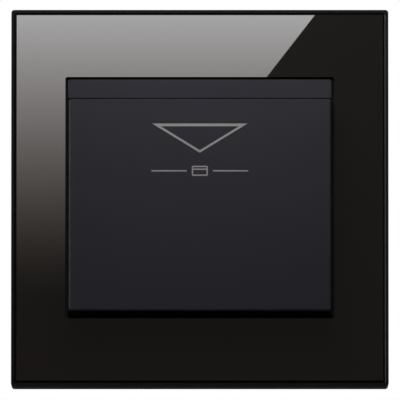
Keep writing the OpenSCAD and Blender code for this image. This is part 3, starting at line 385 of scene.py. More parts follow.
def wound_copper(colour):
    """Enamelled copper wire, wound side by side: fine shiny ridges across the coil's axis, with painted
    shade in the hollows between the turns and a painted highlight on their crests.

    The real wire is too thin to show in the render, so it is drawn thicker.
    """
    pitch_mm = 0.3
    ridge_mm = 0.05
    bands_per_unit = 20 / math.tau
    material, tree, spot = open_material("copper_enamelled_wound")
    turns_and_shade = add(
        tree, "ShaderNodeTexWave", {"Vector": spot, "Scale": per(pitch_mm) / bands_per_unit},
        bands_direction="X",
    )
    gloss = add(tree, "ShaderNodeMapRange", {"Value": turns_and_shade, "To Min": 0.4, "To Max": 0.25})
    relief = add(tree, "ShaderNodeBump", {"Height": turns_and_shade, "Distance": ridge_mm * MM})
    # The colour follows the turns: painted shade in the hollows between them, a painted highlight on
    # their crests
    close_material(tree, colour, turns_and_shade, (0.75, 1.1), {
        "Metallic": 1.0, "Roughness": gloss, "Normal": relief,
    })
    return material


def coated_board(colour):
    """Glass epoxy laminate under solder resist: the weave shows faintly through the varnish."""
    weave_mm = 0.6
    pool_mm = 2
    material, tree, spot = open_material("glass_epoxy_solder_resist")
    weave = add(tree, "ShaderNodeTexChecker", {"Vector": spot, "Scale": per(weave_mm)})
    pool = add(tree, "ShaderNodeTexNoise", {"Vector": spot, "Scale": per(pool_mm)})
    gloss = add(tree, "ShaderNodeMapRange", {"Value": pool, "To Min": 0.22, "To Max": 0.36})
    close_material(tree, colour, weave, (0.9, 1.05), {"Roughness": gloss})
    return material


def only(piece):
    """Leaves one object selected and active."""
    bpy.ops.object.select_all(action="DESELECT")
    piece.select_set(True)
    bpy.context.view_layer.objects.active = piece


def open_mesh(name, data=None):
    """A mesh object at the origin, in edit mode, empty unless it is given a mesh."""
    piece = bpy.data.objects.new(name, data or bpy.data.meshes.new(name))
    bpy.context.scene.collection.objects.link(piece)
    only(piece)
    bpy.ops.object.mode_set(mode="EDIT")
    return piece


def close_mesh():
    """Turns all faces outwards and leaves edit mode."""
    bpy.ops.mesh.select_all(action="SELECT")
    bpy.ops.mesh.normals_make_consistent(inside=False)
    bpy.ops.object.mode_set(mode="OBJECT")


def add_box(low, high):
    """A box between two corners, in edit mode."""
    middle = (Vector(low) + Vector(high)) / 2
    bpy.ops.mesh.primitive_cube_add(size=1, location=middle)
    bpy.ops.transform.resize(value=Vector(high) - Vector(low), center_override=middle)


def add_rod(x, z, front, back, diameter):
    """A round bar along Y, in edit mode."""
    bpy.ops.mesh.primitive_cylinder_add(
        vertices=ROD_SIDES, radius=diameter / 2, depth=back - front,
        location=(x, (front + back) / 2, z), rotation=FRONT_VIEW,
    )


class Loop:
    """A rounded rectangle in the front view, at a depth, with the rounding of its edge."""

    def __init__(self, half, bottom, top, corner, depth, rounding=0):
        self.half = half
        self.bottom = bottom
        self.top = top
        self.corner = corner
        self.depth = depth
        self.rounding = rounding

    def corner_point(self, side, end):
        """The centre of the corner's arc at a side (x) and an end (z)."""
        z = self.top - self.corner if end > 0 else self.bottom + self.corner
        return Vector((side * (self.half - self.corner), self.depth, z))

    def holds(self, at):
        """Whether a point lies on the loop."""
        middle = (self.bottom + self.top) / 2
        out = (
            abs(at.x) - (self.half - self.corner),
            abs(at.z - middle) - ((self.top - self.bottom) / 2 - self.corner),
        )
        reach = math.hypot(max(out[0], 0), max(out[1], 0))
        return abs(at.y - self.depth) < NEAR and abs(reach - self.corner) < NEAR


def add_plate(low, high, depth, corner=0, steps=1):
    """A flat rectangle in the front view, from its low to its high (x, z) corner, in edit mode."""
    middle = ((low[0] + high[0]) / 2, depth, (low[1] + high[1]) / 2)
    bpy.ops.mesh.primitive_plane_add(size=1, location=middle, rotation=FRONT_VIEW)
    bpy.ops.transform.resize(value=(high[0] - low[0], 1, high[1] - low[1]), center_override=middle)
    if corner:
        bpy.ops.mesh.bevel(offset=corner, segments=steps, affect="VERTICES")
        bpy.ops.mesh.select_linked()


def grow_loop(piece, old, new):
    """Extrudes the selected loop to the next one, corner by corner, and leaves it selected."""
    bpy.ops.mesh.extrude_edges_move()
    grown = [vertex.index for vertex in bmesh.from_edit_mesh(piece.data).verts if vertex.select]
    middle = (old.bottom + old.top) / 2
    for side in (-1, 1):
        for end in (-1, 1):
            pick_points(piece, grown, lambda at: at.x * side > 0 and (at.z - middle) * end > 0)
            start, goal = old.corner_point(side, end), new.corner_point(side, end)
            scale = new.corner / old.corner
            bpy.ops.transform.resize(value=(scale, 1, scale), center_override=start)
            bpy.ops.transform.translate(value=goal - start)
    pick_points(piece, grown, lambda at: True)


def loft(name, loops, sizes, ring=True):
    """A solid through loops, in order, closed as a ring or by a cap at each end."""
    piece = open_mesh(name)
    first = loops[0]
    add_plate(
        (-first.half, first.bottom), (first.half, first.top), first.depth, first.corner,
        sizes.corner_steps,
    )
    if ring:
        bpy.ops.mesh.delete(type="ONLY_FACE")
        bpy.ops.mesh.select_all(action="SELECT")
    path = [*loops, first] if ring else loops
    for old, new in zip(path, path[1:]):
        grow_loop(piece, old, new)
    if ring:
        bpy.ops.mesh.select_all(action="SELECT")
        bpy.ops.mesh.remove_doubles(threshold=NEAR)
    else:
        bpy.ops.mesh.edge_face_add()
    for loop in loops:
        if loop.rounding:
            pick_edges(piece, loop.holds)
            bpy.ops.mesh.bevel(offset=loop.rounding, segments=sizes.round_steps)
    close_mesh()
    return piece


def pick_points(piece, numbers, test):
    """Selects the numbered points that pass a test, in edit mode."""
    bpy.ops.mesh.select_mode(type="VERT")
    bpy.ops.mesh.select_all(action="DESELECT")
    mesh = bmesh.from_edit_mesh(piece.data)
    mesh.verts.ensure_lookup_table()
    for number in numbers:
        mesh.verts[number].select_set(test(mesh.verts[number].co))
    mesh.select_flush(True)
    bmesh.update_edit_mesh(piece.data)


def pick_edges(piece, test):
    """Selects the edges whose two ends both pass a test, in edit mode."""
    bpy.ops.mesh.select_mode(type="EDGE")
    bpy.ops.mesh.select_all(action="DESELECT")
    mesh = bmesh.from_edit_mesh(piece.data)
    for edge in mesh.edges:
        edge.select_set(all(test(vertex.co) for vertex in edge.verts))
    bmesh.update_edit_mesh(piece.data)


def apply_modifier(piece, kind, **settings):
    """Adds a modifier to a piece and applies it."""
    only(piece)
    made = piece.modifiers.new(kind.lower(), kind)
    for key, value in settings.items():
        setattr(made, key, value)
    bpy.ops.object.modifier_apply(modifier=made.name)


def combine(piece, tool, operation):
    """Fuses a tool to a piece, or cuts it out, and removes the tool."""
    apply_modifier(piece, "BOOLEAN", object=tool, operation=operation, solver="MANIFOLD")
    bpy.data.objects.remove(tool)


def shade(piece, degrees=SHARP):
    """Smooth shading over roundings, with the flat faces kept flat and the CAD's normals dropped."""
    only(piece)
    bpy.ops.mesh.customdata_custom_splitnormals_clear()
    bpy.ops.object.shade_smooth_by_angle(angle=math.radians(degrees), keep_sharp_edges=False)
    apply_modifier(piece, "WEIGHTED_NORMAL", weight=100, keep_sharp=True)


def whole_copy(node, name):
    """A copy of a CAD piece with its triangles joined into whole faces, in edit mode."""
    same_point = 0.001 * MM
    same_plane = math.radians(0.5)
    piece = open_mesh(name, frame["nodes"][node].data.copy())
    bpy.ops.mesh.select_all(action="SELECT")
    bpy.ops.mesh.remove_doubles(threshold=same_point)
    bpy.ops.mesh.dissolve_limited(angle_limit=same_plane)
    return piece


def eased_copy(node, name, ease):
    """A copy of a CAD piece with its sharp edges rounded."""
    piece = whole_copy(node, name)
    bpy.ops.object.mode_set(mode="OBJECT")
    apply_modifier(
        piece, "BEVEL", width=ease, segments=EASE_STEPS, limit_method="ANGLE",
        angle_limit=math.radians(SHARP), use_clamp_overlap=False,
    )
    shade(piece)
    return piece


def coat(piece, material):
    """Gives a piece one material."""
    piece.data.materials.clear()
    piece.data.materials.append(material)


def settle(piece, material, body, slot, *nodes):
    """Gives a finished piece its material, hangs it on the body it rides on, and hides the CAD pieces it
    stands in for.
    """
    coat(piece, material)
    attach(piece, body)
    if nodes:
        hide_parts(*nodes)


def coat_nodes(material, *names):
    """Gives CAD pieces that keep their own shape a material."""
    for name in names:
        coat(frame["nodes"][name], material)


class CARD_OT_glass_panel(bpy.types.Operator):
    """Models the black glass plate with its opening and polished edges"""

    bl_idname = "card_switch.glass_panel"
    bl_label = "Glass panel"

    def execute(self, context):
        sizes = context.scene.switch_sizes
        half = GLASS_HI.x
        wide = PLATE_HI.x + sizes.insert_gap
        high = PLATE_HI.z + sizes.insert_gap
        corner = sizes.opening_corner
        bevel = sizes.glass_bevel
        arris = sizes.glass_arris
        face = half - bevel
        front, back = GLASS_LO.y, GLASS_HI.y
        piece = loft("glass_panel_polished", [
            Loop(face, -face, face, bevel, front),
            Loop(half, -half, half, 2 * bevel, front + bevel),
            Loop(half, -half, half, 2 * bevel, back),
            Loop(wide, -high, high, corner, back),
            Loop(wide, -high, high, corner, front + arris),
            Loop(wide + arris, -high - arris, high + arris, corner + arris, front),
        ], sizes)
        shade(piece, degrees=25)
        material = painted_glass(context.scene.switch_colours.glass)
        settle(piece, material, "body", "black_glass", "glass_panel")
        return {"FINISHED"}


class CARD_OT_panel_frame(bpy.types.Operator):
    """Models the moulded frame that carries the glass, with its rounded rim and snap legs"""

    bl_idname = "card_switch.panel_frame"
    bl_label = "Panel frame"

    def execute(self, context):
        sizes = context.scene.switch_sizes
        half = FRAME_HI.x
        recess = half - sizes.rim_w
        land = recess + sizes.rim_slope
        cavity = half - sizes.frame_wall
        wide = PLATE_HI.x + sizes.web_gap
        high = PLATE_HI.z + sizes.web_gap
        corner = sizes.insert_corner + sizes.web_gap
        ease = sizes.edge_ease
        front, back = FRAME_LO.y, FRAME_HI.y
        web = TAPE_HI.y
        web_back = web + sizes.web_t
        piece = loft("panel_frame_moulded", [
            Loop(half, -half, half, sizes.panel_corner, back, ease),
            Loop(half, -half, half, sizes.panel_corner, front, sizes.rim_round),
            Loop(land, -land, land, ease + sizes.rim_slope, front),
            Loop(recess, -recess, recess, ease, front + sizes.rim_fall),
            Loop(recess, -recess, recess, ease, web),
            Loop(wide, -high, high, corner, web),
            Loop(wide, -high, high, corner, web_back),
            Loop(cavity, -cavity, cavity, ease, web_back),
            Loop(cavity, -cavity, cavity, ease, back, ease),
        ], sizes)
        combine(piece, self.snap_legs(sizes, web_back), "UNION")
        shade(piece, degrees=15)
        satin = moulded_plastic("polycarbonate_satin_moulded", context.scene.switch_colours.rim)
        settle(piece, satin, "body", "frame_plastic", "panel_frame")
        return {"FINISHED"}

    def snap_legs(self, sizes, web_back):
        """Four hooked legs that hold the frame on the strap's flanges."""
        legs = open_mesh("snap_legs")
        hook_front = STRAP_LO.y + sizes.snap_reach + (sizes.snap_slot - sizes.snap_reach) / 2
        hook_back = hook_front + sizes.snap_slot
        leg_back = hook_back + sizes.snap_t / 3
        inner = STRAP_HI.x + sizes.snap_play
        hook = STRAP_HI.x - sizes.snap_reach
        for side in (-1, 1):
            for middle in (-sizes.snap_z, sizes.snap_z):
                low, high = middle - sizes.snap_w / 2, middle + sizes.snap_w / 2
                near, far = sorted((side * inner, side * (inner + sizes.snap_t)))
                add_box((near, web_back - sizes.edge_ease, low), (far, leg_back, high))
                near, far = sorted((side * hook, side * inner))
                add_box(
                    (near, hook_front, low + sizes.snap_play), (far, hook_back, high - sizes.snap_play)
                )
        close_mesh()
        return legs


class CARD_OT_front_cover(bpy.types.Operator):
    """Models the raised cover that makes the card pocket"""

    bl_idname = "card_switch.front_cover"
    bl_label = "Front cover"

    def execute(self, context):
        sizes = context.scene.switch_sizes
        front = COVER_LO.y + sizes.ink_t
        base = COVER_HI.y - sizes.peg_l
        inner = COVER_LO.y + sizes.cover_t
        bottom, lip = COVER_LO.z, COVER_HI.z
        floor = bottom + sizes.bottom_draft + sizes.floor_t
        pocket = sizes.pocket_w / 2
        face = COVER_HI.x - sizes.side_draft
        low = bottom + sizes.bottom_draft
        slope = sizes.cover_slope
        corner = sizes.cover_corner
        piece = loft("front_cover_moulded", [
            Loop(COVER_HI.x, bottom, lip, corner, base),
            Loop(face, low, lip, corner, front + sizes.cover_fall, sizes.lip_edge / 2),
            Loop(face - slope, low + slope, lip - sizes.lip_edge, corner - slope, front),
        ], sizes, ring=False)
        hollow = open_mesh("pocket_hollow")
        add_box((-pocket, inner, floor), (pocket, base + sizes.peg_l, lip + sizes.floor_t))
        close_mesh()
        combine(piece, hollow, "DIFFERENCE")
        self.round_lip(piece, inner, lip, sizes)
        combine(piece, self.stops_and_pegs(sizes, inner, base, floor, lip), "UNION")
        shade(piece, degrees=15)
        satin = moulded_plastic("polycarbonate_spark_textured", context.scene.switch_colours.cover)
        settle(piece, satin, "body", "cover_plastic", "front_cover")
        return {"FINISHED"}

    def round_lip(self, piece, inner, lip, sizes):
        """Rounds the inner edge of the lip, where the card goes in."""
        only(piece)
        bpy.ops.object.mode_set(mode="EDIT")
        pick_edges(piece, lambda at: abs(at.y - inner) < NEAR and abs(at.z - lip) < NEAR)
        bpy.ops.mesh.bevel(offset=sizes.lip_round, segments=sizes.round_steps)
        bpy.ops.object.mode_set(mode="OBJECT")

    def stops_and_pegs(self, sizes, inner, base, floor, lip):
        """The two stops that the card rests on, and the six pegs that fix the cover."""
        tool = open_mesh("stops_and_pegs")
        lap = sizes.edge_ease
        for x in (-sizes.stop_x, sizes.stop_x):
            add_box(
                (x - sizes.stop_w / 2, inner - lap, floor - lap),
                (x + sizes.stop_w / 2, base - lap / 3, lip - sizes.card_depth),
            )
        peg_x = (sizes.pocket_w + sizes.pocket_wall) / 2
        for x in (-peg_x, peg_x):
            for step in (-1, 0, 1):
                add_rod(x, step * sizes.peg_step, base - lap, base + sizes.peg_l, sizes.peg_d)
        close_mesh()
        return tool


class CARD_OT_printed_marks(bpy.types.Operator):
    """Prints the arrow outline and the card sign on the cover"""

    bl_idname = "card_switch.printed_marks"
    bl_label = "Printed marks"

    def execute(self, context):
        sizes = context.scene.switch_sizes
        face = COVER_LO.y + sizes.ink_t
        piece = open_mesh("printed_marks")
        self.arrow(sizes, face)
        self.card_sign(sizes, face)
        bpy.ops.object.mode_set(mode="OBJECT")
        apply_modifier(piece, "SOLIDIFY", thickness=2 * sizes.ink_t, offset=0)
        only(piece)
        bpy.ops.object.mode_set(mode="EDIT")
        close_mesh()
        settle(piece, printed_ink(context.scene.switch_colours.ink), "body", "cover_plastic")
        return {"FINISHED"}

    def arrow(self, sizes, face):
        """A triangle outline that points down, the way the card goes."""
        # A circle of three points and radius 1 is the root of 3 wide and 1.5 high
        middle = (0, face, sizes.arrow_z - sizes.arrow_h / 3)
        bpy.ops.mesh.primitive_circle_add(
            vertices=3, radius=1, fill_type="NGON", location=middle, rotation=(-math.pi / 2, 0, 0)
        )
        bpy.ops.transform.resize(
            value=(sizes.arrow_w / math.sqrt(3), 1, sizes.arrow_h / 1.5), center_override=middle
        )
        bpy.ops.mesh.inset(thickness=sizes.ink_stroke)
        slant = math.hypot(sizes.arrow_w / 2, sizes.arrow_h)
        tip = sizes.arrow_z - sizes.arrow_h + sizes.ink_stroke * slant / (sizes.arrow_w / 2)
        shrink = (sizes.arrow_z - sizes.ink_bar - tip) / (sizes.arrow_z - sizes.ink_stroke - tip)
        bpy.ops.transform.resize(value=(shrink, 1, shrink), center_override=(0, face, tip))
        bpy.ops.mesh.delete(type="FACE")

    def card_sign(self, sizes, face):
        """The outline of a card with its stripe, between two rules."""
        card_ratio = 85.6 / 54
        stroke = sizes.ink_line
        half_h = sizes.sign_h / 2
        half_w = half_h * card_ratio
        low, high = sizes.sign_z - half_h, sizes.sign_z + half_h
        add_plate((-half_w, low), (half_w, high), face, corner=stroke, steps=3)
        bpy.ops.mesh.inset(thickness=stroke)
        bpy.ops.mesh.delete(type="FACE")
        add_plate((stroke - half_w, high - 3 * stroke), (half_w - stroke, high - 2 * stroke), face)
        for side in (-1, 1):
            near, far = sorted((side * (half_w + sizes.sign_h / 2), side * sizes.sign_w / 2))
            add_plate((near, sizes.sign_z - stroke / 2), (far, sizes.sign_z + stroke / 2), face)


class CARD_OT_pocket_plate(bpy.types.Operator):
    """Eases the pocket plate, whose strip shows above the slot"""

    bl_idname = "card_switch.pocket_plate"
    bl_label = "Pocket plate"

    def execute(self, context):
        sizes = context.scene.switch_sizes
        piece = eased_copy("pocket_plate", "pocket_plate_eased", sizes.edge_ease)
        satin = moulded_plastic("polycarbonate_fine_textured", context.scene.switch_colours.cover)
        settle(piece, satin, "body", "plate_plastic", "pocket_plate")
        return {"FINISHED"}


class CARD_OT_strap(bpy.types.Operator):
    """Eases the pressed strap and the earth terminal on its back"""

    bl_idname = "card_switch.strap"
    bl_label = "Strap and earth terminal"

    def execute(self, context):
        sizes = context.scene.switch_sizes
        colours = context.scene.switch_colours
        zinc = plated_metal("steel_zinc_plated_pressed", colours.strap)
        brass = plated_metal("brass_turned", colours.brass)
        strap = eased_copy("mounting_strap", "mounting_strap_eased", sizes.edge_ease)
        self.stamp_earth(strap, sizes)
        settle(strap, zinc, "body", "strap_steel", "mounting_strap")
        for node in ("earth_washer", "earth_screw"):
            settle(eased_copy(node, node + "_eased", sizes.edge_ease), brass, "body", "brass", node)
        passivated = plated_metal("steel_zinc_passivated", colours.screw)
        coat_nodes(passivated, "strap_screws", "board_screws", "terminal_screws")
        coat_nodes(brass, "terminal_cages")
        return {"FINISHED"}

    def stamp_earth(self, strap, sizes):
        """Stamps the earth sign below its screw: a stem on three bars, each shorter than the last."""
        stroke, half = sizes.stamp_stroke, sizes.stamp_w / 2
        x = (EARTH_LO.x + EARTH_HI.x) / 2
        stem_top = EARTH_LO.z - 3 * stroke
        bar_top = stem_top - half
        front, back = STRAP_HI.y - sizes.stamp_deep, STRAP_HI.y + sizes.stamp_deep
        bars = open_mesh("stamp_bars")
        for step in range(3):
            reach = half * (1 - step / 3)
            low = bar_top - (2 * step + 1) * stroke
            add_box((x - reach, front, low), (x + reach, back, low + stroke))
        close_mesh()
        combine(strap, bars, "DIFFERENCE")
        stem = open_mesh("stamp_stem")
        add_box((x - stroke / 2, front, bar_top - stroke / 2), (x + stroke / 2, back, stem_top))
        close_mesh()
        combine(strap, stem, "DIFFERENCE")
        shade(strap)


class CARD_OT_housing(bpy.types.Operator):
    """Rounds the back of the rear housing, sinks its marks and finishes the chassis"""

    bl_idname = "card_switch.housing"
    bl_label = "Rear housing"

    def execute(self, context):
        sizes = context.scene.switch_sizes
        colours = context.scene.switch_colours
        piece = whole_copy("rear_housing", "rear_housing_rounded")
        back = HOUSING_HI.y
        hole_reach = sizes.hole_pitch + sizes.hole_d / 2 + ON_FACE

        def on_rim(at):
            outer = max(abs(at.x) - HOUSING_HI.x, abs(at.z) - HOUSING_HI.z) > -sizes.housing_round
            return outer and back - at.y < ON_FACE

        def on_hole(at):
            beside = abs(at.x) < hole_reach and abs(at.z + sizes.hole_z) < sizes.hole_d
            return beside and back - at.y < ON_FACE

        pick_edges(piece, on_rim)
        bpy.ops.mesh.bevel(offset=sizes.housing_round, segments=sizes.round_steps)
        pick_edges(piece, on_hole)
        bpy.ops.mesh.bevel(offset=sizes.edge_ease, segments=EASE_STEPS)
        bpy.ops.object.mode_set(mode="OBJECT")
        combine(piece, self.label_field(sizes, back), "DIFFERENCE")
        combine(piece, self.sunk_marks(sizes, back), "DIFFERENCE")
        combine(piece, self.grip_grooves(sizes, back), "DIFFERENCE")
        shade(piece)
        shell = moulded_plastic("urea_moulded_off_white", colours.housing)
        settle(piece, shell, "body", "housing_plastic", "rear_housing")
        coat_nodes(moulded_plastic("nylon_moulded_natural", colours.chassis), "chassis")
        return {"FINISHED"}

    def label_field(self, sizes, back):
        """A bare sunk field, where a rating label would go."""
        half = sizes.label_w / 2
        low, high = sizes.label_z - sizes.label_h / 2, sizes.label_z + sizes.label_h / 2
        return loft("label_field", [
            Loop(half, low, high, sizes.label_corner, back - sizes.label_deep),
            Loop(half, low, high, sizes.label_corner, back + sizes.label_deep),
        ], sizes, ring=False)

    def sunk_marks(self, sizes, back):
        """Dots that number the terminals, and the round marks of the mould's ejector pins."""
        tool = open_mesh("sunk_marks")
        dot_z = sizes.dot_rise - sizes.hole_z
        for number in (1, 2, 3):
            x = (2 - number) * sizes.hole_pitch
            for step in range(number):
                place = x + (step - (number - 1) / 2) * sizes.dot_step
                add_rod(place, dot_z, back - sizes.dot_deep, back + sizes.dot_deep, sizes.dot_d)
        for x in (HOUSING_LO.x + sizes.pin_set, HOUSING_HI.x - sizes.pin_set):
            for z in (HOUSING_LO.z + sizes.pin_set, HOUSING_HI.z - sizes.pin_set):
                add_rod(x, z, back - sizes.pin_deep, back + sizes.pin_deep, sizes.pin_d)
        close_mesh()
        return tool

    def grip_grooves(self, sizes, back):
        """Five grooves along each side of the housing."""
        tool = open_mesh("grip_grooves")
        middle = (HOUSING_LO.y + back) / 2
        for side in (HOUSING_LO.x, HOUSING_HI.x):
            for step in (-2, -1, 0, 1, 2):
                z = step * sizes.groove_step
                add_box(
                    (side - sizes.groove_deep, middle - sizes.groove_l / 2, z - sizes.groove_w / 2),
                    (side + sizes.groove_deep, middle + sizes.groove_l / 2, z + sizes.groove_w / 2),
                )
        close_mesh()
        return tool


class CARD_OT_lever(bpy.types.Operator):
    """Eases the card lever, finishes its pin and smooths its spring"""

    bl_idname = "card_switch.lever"
    bl_label = "Card lever"

    def execute(self, context):
        sizes = context.scene.switch_sizes
        colours = context.scene.switch_colours
        piece = eased_copy("card_lever", "card_lever_eased", sizes.edge_ease)
        acetal = moulded_plastic("acetal_moulded_dark", colours.cover)
        settle(piece, acetal, "lever", "lever_plastic", "card_lever")
        coat_nodes(plated_metal("steel_ground_bright", colours.steel), "lever_pin")
        self.wind_spring(sizes, plated_metal("steel_spring_drawn", colours.steel))
        return {"FINISHED"}

    def wind_spring(self, sizes, material):
        """The spring, copied from the CAD piece with its wire smoothed."""
        piece = whole_copy("lever_spring", "lever_spring_wound")
        bpy.ops.mesh.tris_convert_to_quads()
        bpy.ops.object.mode_set(mode="OBJECT")
        apply_modifier(piece, "SUBSURF", levels=1, render_levels=1)
        shade(piece, degrees=60)
        coat(piece, material)
        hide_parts("lever_spring")
        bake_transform(piece)


class CARD_OT_inner_works(bpy.types.Operator):
    """Finishes the micro switch, the board, the relay and the parts on the board"""

    bl_idname = "card_switch.inner_works"
    bl_label = "Inner works"

    def execute(self, context):
        colours = context.scene.switch_colours
        plastics = [
            ("polyethylene_foam_tape", colours.tape, ["glass_tape"]),
            ("phenolic_moulded_black", colours.switch, ["switch_case", "switch_lid"]),
            ("acetal_moulded_red", colours.button, ["switch_button"]),
            ("polyamide_moulded_green", colours.terminal, ["terminal_block"]),
            ("polyester_moulded_blue", colours.relay, ["relay_base", "relay_case"]),
            ("epoxy_dipped_red", colours.film, ["film_capacitor"]),
            ("epoxy_dipped_blue", colours.varistor, ["varistor"]),
            ("vinyl_sleeve_shrunk", colours.sleeve, ["electrolytic_capacitor"]),
            ("ceramic_glazed", colours.fuse, ["fuse"]),
            ("epoxy_moulded_matt", colours.chip, ["rectifier", "timer_chip"]),
        ]
        for name, colour, nodes in plastics:
            coat_nodes(moulded_plastic(name, colour), *nodes)
        metals = [
            ("silver_alloy_contact", colours.silver, ["switch_contacts", "relay_contacts"]),
            ("copper_alloy_rolled", colours.copper, ["switch_blade"]),
            ("iron_nickel_plated", colours.iron, ["relay_yoke", "relay_armature"]),
        ]
        for name, colour, nodes in metals:
            coat_nodes(plated_metal(name, colour), *nodes)
        coat_nodes(wound_copper(colours.copper), "relay_coil")
        coat_nodes(coated_board(colours.board), "circuit_board")
        return {"FINISHED"}


class CARD_OT_stage(bpy.types.Operator):
    """Sets up the floor, the lamps, the dark tent that the glass mirrors, and the camera"""

    bl_idname = "card_switch.stage"
    bl_label = "Studio"

    camera_far = 3
    camera_rise = math.radians(-4.8)
    aim_point = Vector((0.04 * MM, GLASS_LO.y, -0.55 * MM))
    field_w = 91.14 * MM
    tent_far = 0.9
    tent_back = 0.3
    tent_half = 0.4
    tent_low = CAD_LO.z - 3 * MM
    tent_high = 0.45
    # Where the glass mirrors the window: the two ends of its slanting edge, and its lower end
    edge_high = (26.15 * MM, 41.7 * MM)
    edge_low = (15.2 * MM, 27.56 * MM)
    window_end = -25 * MM

    def execute(self, context):
        self.set_camera(context)
        self.set_world(context)
        self.set_floor(context)
        self.set_tent(context)
        self.set_lamps(context)
        context.scene.view_settings.view_transform = "Standard"
        return {"FINISHED"}

    def camera_place(self):
        """Where the camera stands: in front, and a little below the middle."""
        back = Vector((0, -math.cos(self.camera_rise), math.sin(self.camera_rise)))
        return self.aim_point + self.camera_far * back

    def set_camera(self, context):
        """A long lens straight in front, as the photograph was taken."""
        bpy.ops.object.camera_add(location=self.camera_place())
        camera = context.object
        camera.rotation_euler = (self.aim_point - camera.location).to_track_quat("-Z", "Y").to_euler()
        camera.data.lens = camera.data.sensor_width * self.camera_far / self.field_w
        context.scene.camera = camera

    def seen_rays(self, tree):
        """1 where the camera looks straight at a place or sees it mirrored or through glass."""
        path = add(tree, "ShaderNodeLightPath").outputs
        mirrored = add(
            tree, "ShaderNodeMath", {0: path["Is Glossy Ray"], 1: path["Is Transmission Ray"]},
            operation="MAXIMUM",
        )
        return add(tree, "ShaderNodeMath", {0: path["Is Camera Ray"], 1: mirrored}, operation="MAXIMUM")

    def set_world(self, context):
        """White for the camera and for what mirrors it, and soft grey light for the rest."""
        low, high = -0.2, 0.3
        dim, bright = 0.05, 0.22
        world = bpy.data.worlds.new("studio_surround")
        world.use_nodes = True
        tree = world.node_tree
        tree.nodes.clear()
        sky = add(tree, "ShaderNodeTexCoord").outputs["Generated"]
        height = add(tree, "ShaderNodeSeparateXYZ", {"Vector": sky}).outputs["Z"]
        light = add(tree, "ShaderNodeMapRange", {
            "Value": height, "From Min": low, "From Max": high, "To Min": dim, "To Max": bright,
        })
        soft = add(tree, "ShaderNodeBackground", {"Color": WHITE, "Strength": light})
        white = add(tree, "ShaderNodeBackground", {"Color": WHITE, "Strength": 1.0})
        both = add(tree, "ShaderNodeMixShader", {0: self.seen_rays(tree), 1: soft, 2: white})
        add(tree, "ShaderNodeOutputWorld", {"Surface": both})
        context.scene.world = world

    def set_floor(self, context):
        """A pale floor that fades to white far off, open to a camera that looks up from below it."""
        floor_side = 3
        floor_drop = 0.5 * MM
        fibre_mm = 2
        haze_near, haze_far = 0.1, 0.6
        near_share = 0.4
        bpy.ops.mesh.primitive_plane_add(size=floor_side, location=(0, 0, CAD_LO.z - floor_drop))
        floor = context.object
        floor.name = "studio_floor"
        material, tree, spot = open_material("floor_paper_matt")
        fibre = add(tree, "ShaderNodeTexNoise", {"Vector": spot, "Scale": per(fibre_mm), "Detail": 3})
        shift = add(tree, "ShaderNodeMapRange", {"Value": fibre, "To Min": 0.99, "To Max": 1.01})
        paper = add(tree, "ShaderNodeHueSaturation", {
            "Color": (*context.scene.switch_colours.floor, 1), "Value": shift,
        })
        lit = add(tree, "ShaderNodeBsdfDiffuse", {"Color": paper})
        bright = add(tree, "ShaderNodeEmission", {"Color": WHITE})
        reach = add(tree, "ShaderNodeVectorMath", {0: spot}, operation="LENGTH").outputs["Value"]
        haze = add(tree, "ShaderNodeMapRange", {
            "Value": reach, "From Min": haze_near, "From Max": haze_far, "To Min": near_share,
        }, interpolation_type="SMOOTHSTEP")
        share = add(tree, "ShaderNodeMath", {0: self.seen_rays(tree), 1: haze}, operation="MULTIPLY")
        pale = add(tree, "ShaderNodeMixShader", {0: share, 1: lit, 2: bright})
        clear = add(tree, "ShaderNodeBsdfTransparent")
        under = add(tree, "ShaderNodeNewGeometry").outputs["Backfacing"]
        both = add(tree, "ShaderNodeMixShader", {0: under, 1: pale, 2: clear})
        add(tree, "ShaderNodeOutputMaterial", {"Surface": both})
        coat(floor, material)
        floor.visible_diffuse = False
        floor.visible_glossy = False

    def on_tent(self, x, z):
        """The (x, z) place on the tent's front that the camera sees mirrored at a place on the glass."""
        camera = self.camera_place()
        ratio = self.tent_far / (GLASS_LO.y - camera.y)
        return Vector((x + (x - camera.x) * ratio, z + (z - camera.z) * ratio))

    def set_tent(self, context):
        """A dark tent round the front that only gloss sees, with a bright window at its upper left."""
        bpy.ops.mesh.primitive_cube_add(size=1)
        tent = context.object
        tent.name = "studio_tent"
        front, back = GLASS_LO.y - self.tent_far, self.tent_back
        low, high = self.tent_low, self.tent_high
        bpy.ops.object.mode_set(mode="EDIT")
        bpy.ops.transform.resize(value=(2 * self.tent_half, back - front, high - low))
        bpy.ops.transform.translate(value=(0, (front + back) / 2, (low + high) / 2))
        mesh = bmesh.from_edit_mesh(tent.data)
        bpy.ops.mesh.select_mode(type="FACE")
        bpy.ops.mesh.select_all(action="DESELECT")
        for face in mesh.faces:
            face.select_set(round(face.normal.y) == 1)
        bmesh.update_edit_mesh(tent.data)
        bpy.ops.mesh.delete(type="FACE")
        bpy.ops.object.mode_set(mode="OBJECT")
        for ray in ("camera", "diffuse", "shadow", "transmission", "volume_scatter"):
            setattr(tent, "visible_" + ray, False)
        coat(tent, self.tent_cloth())

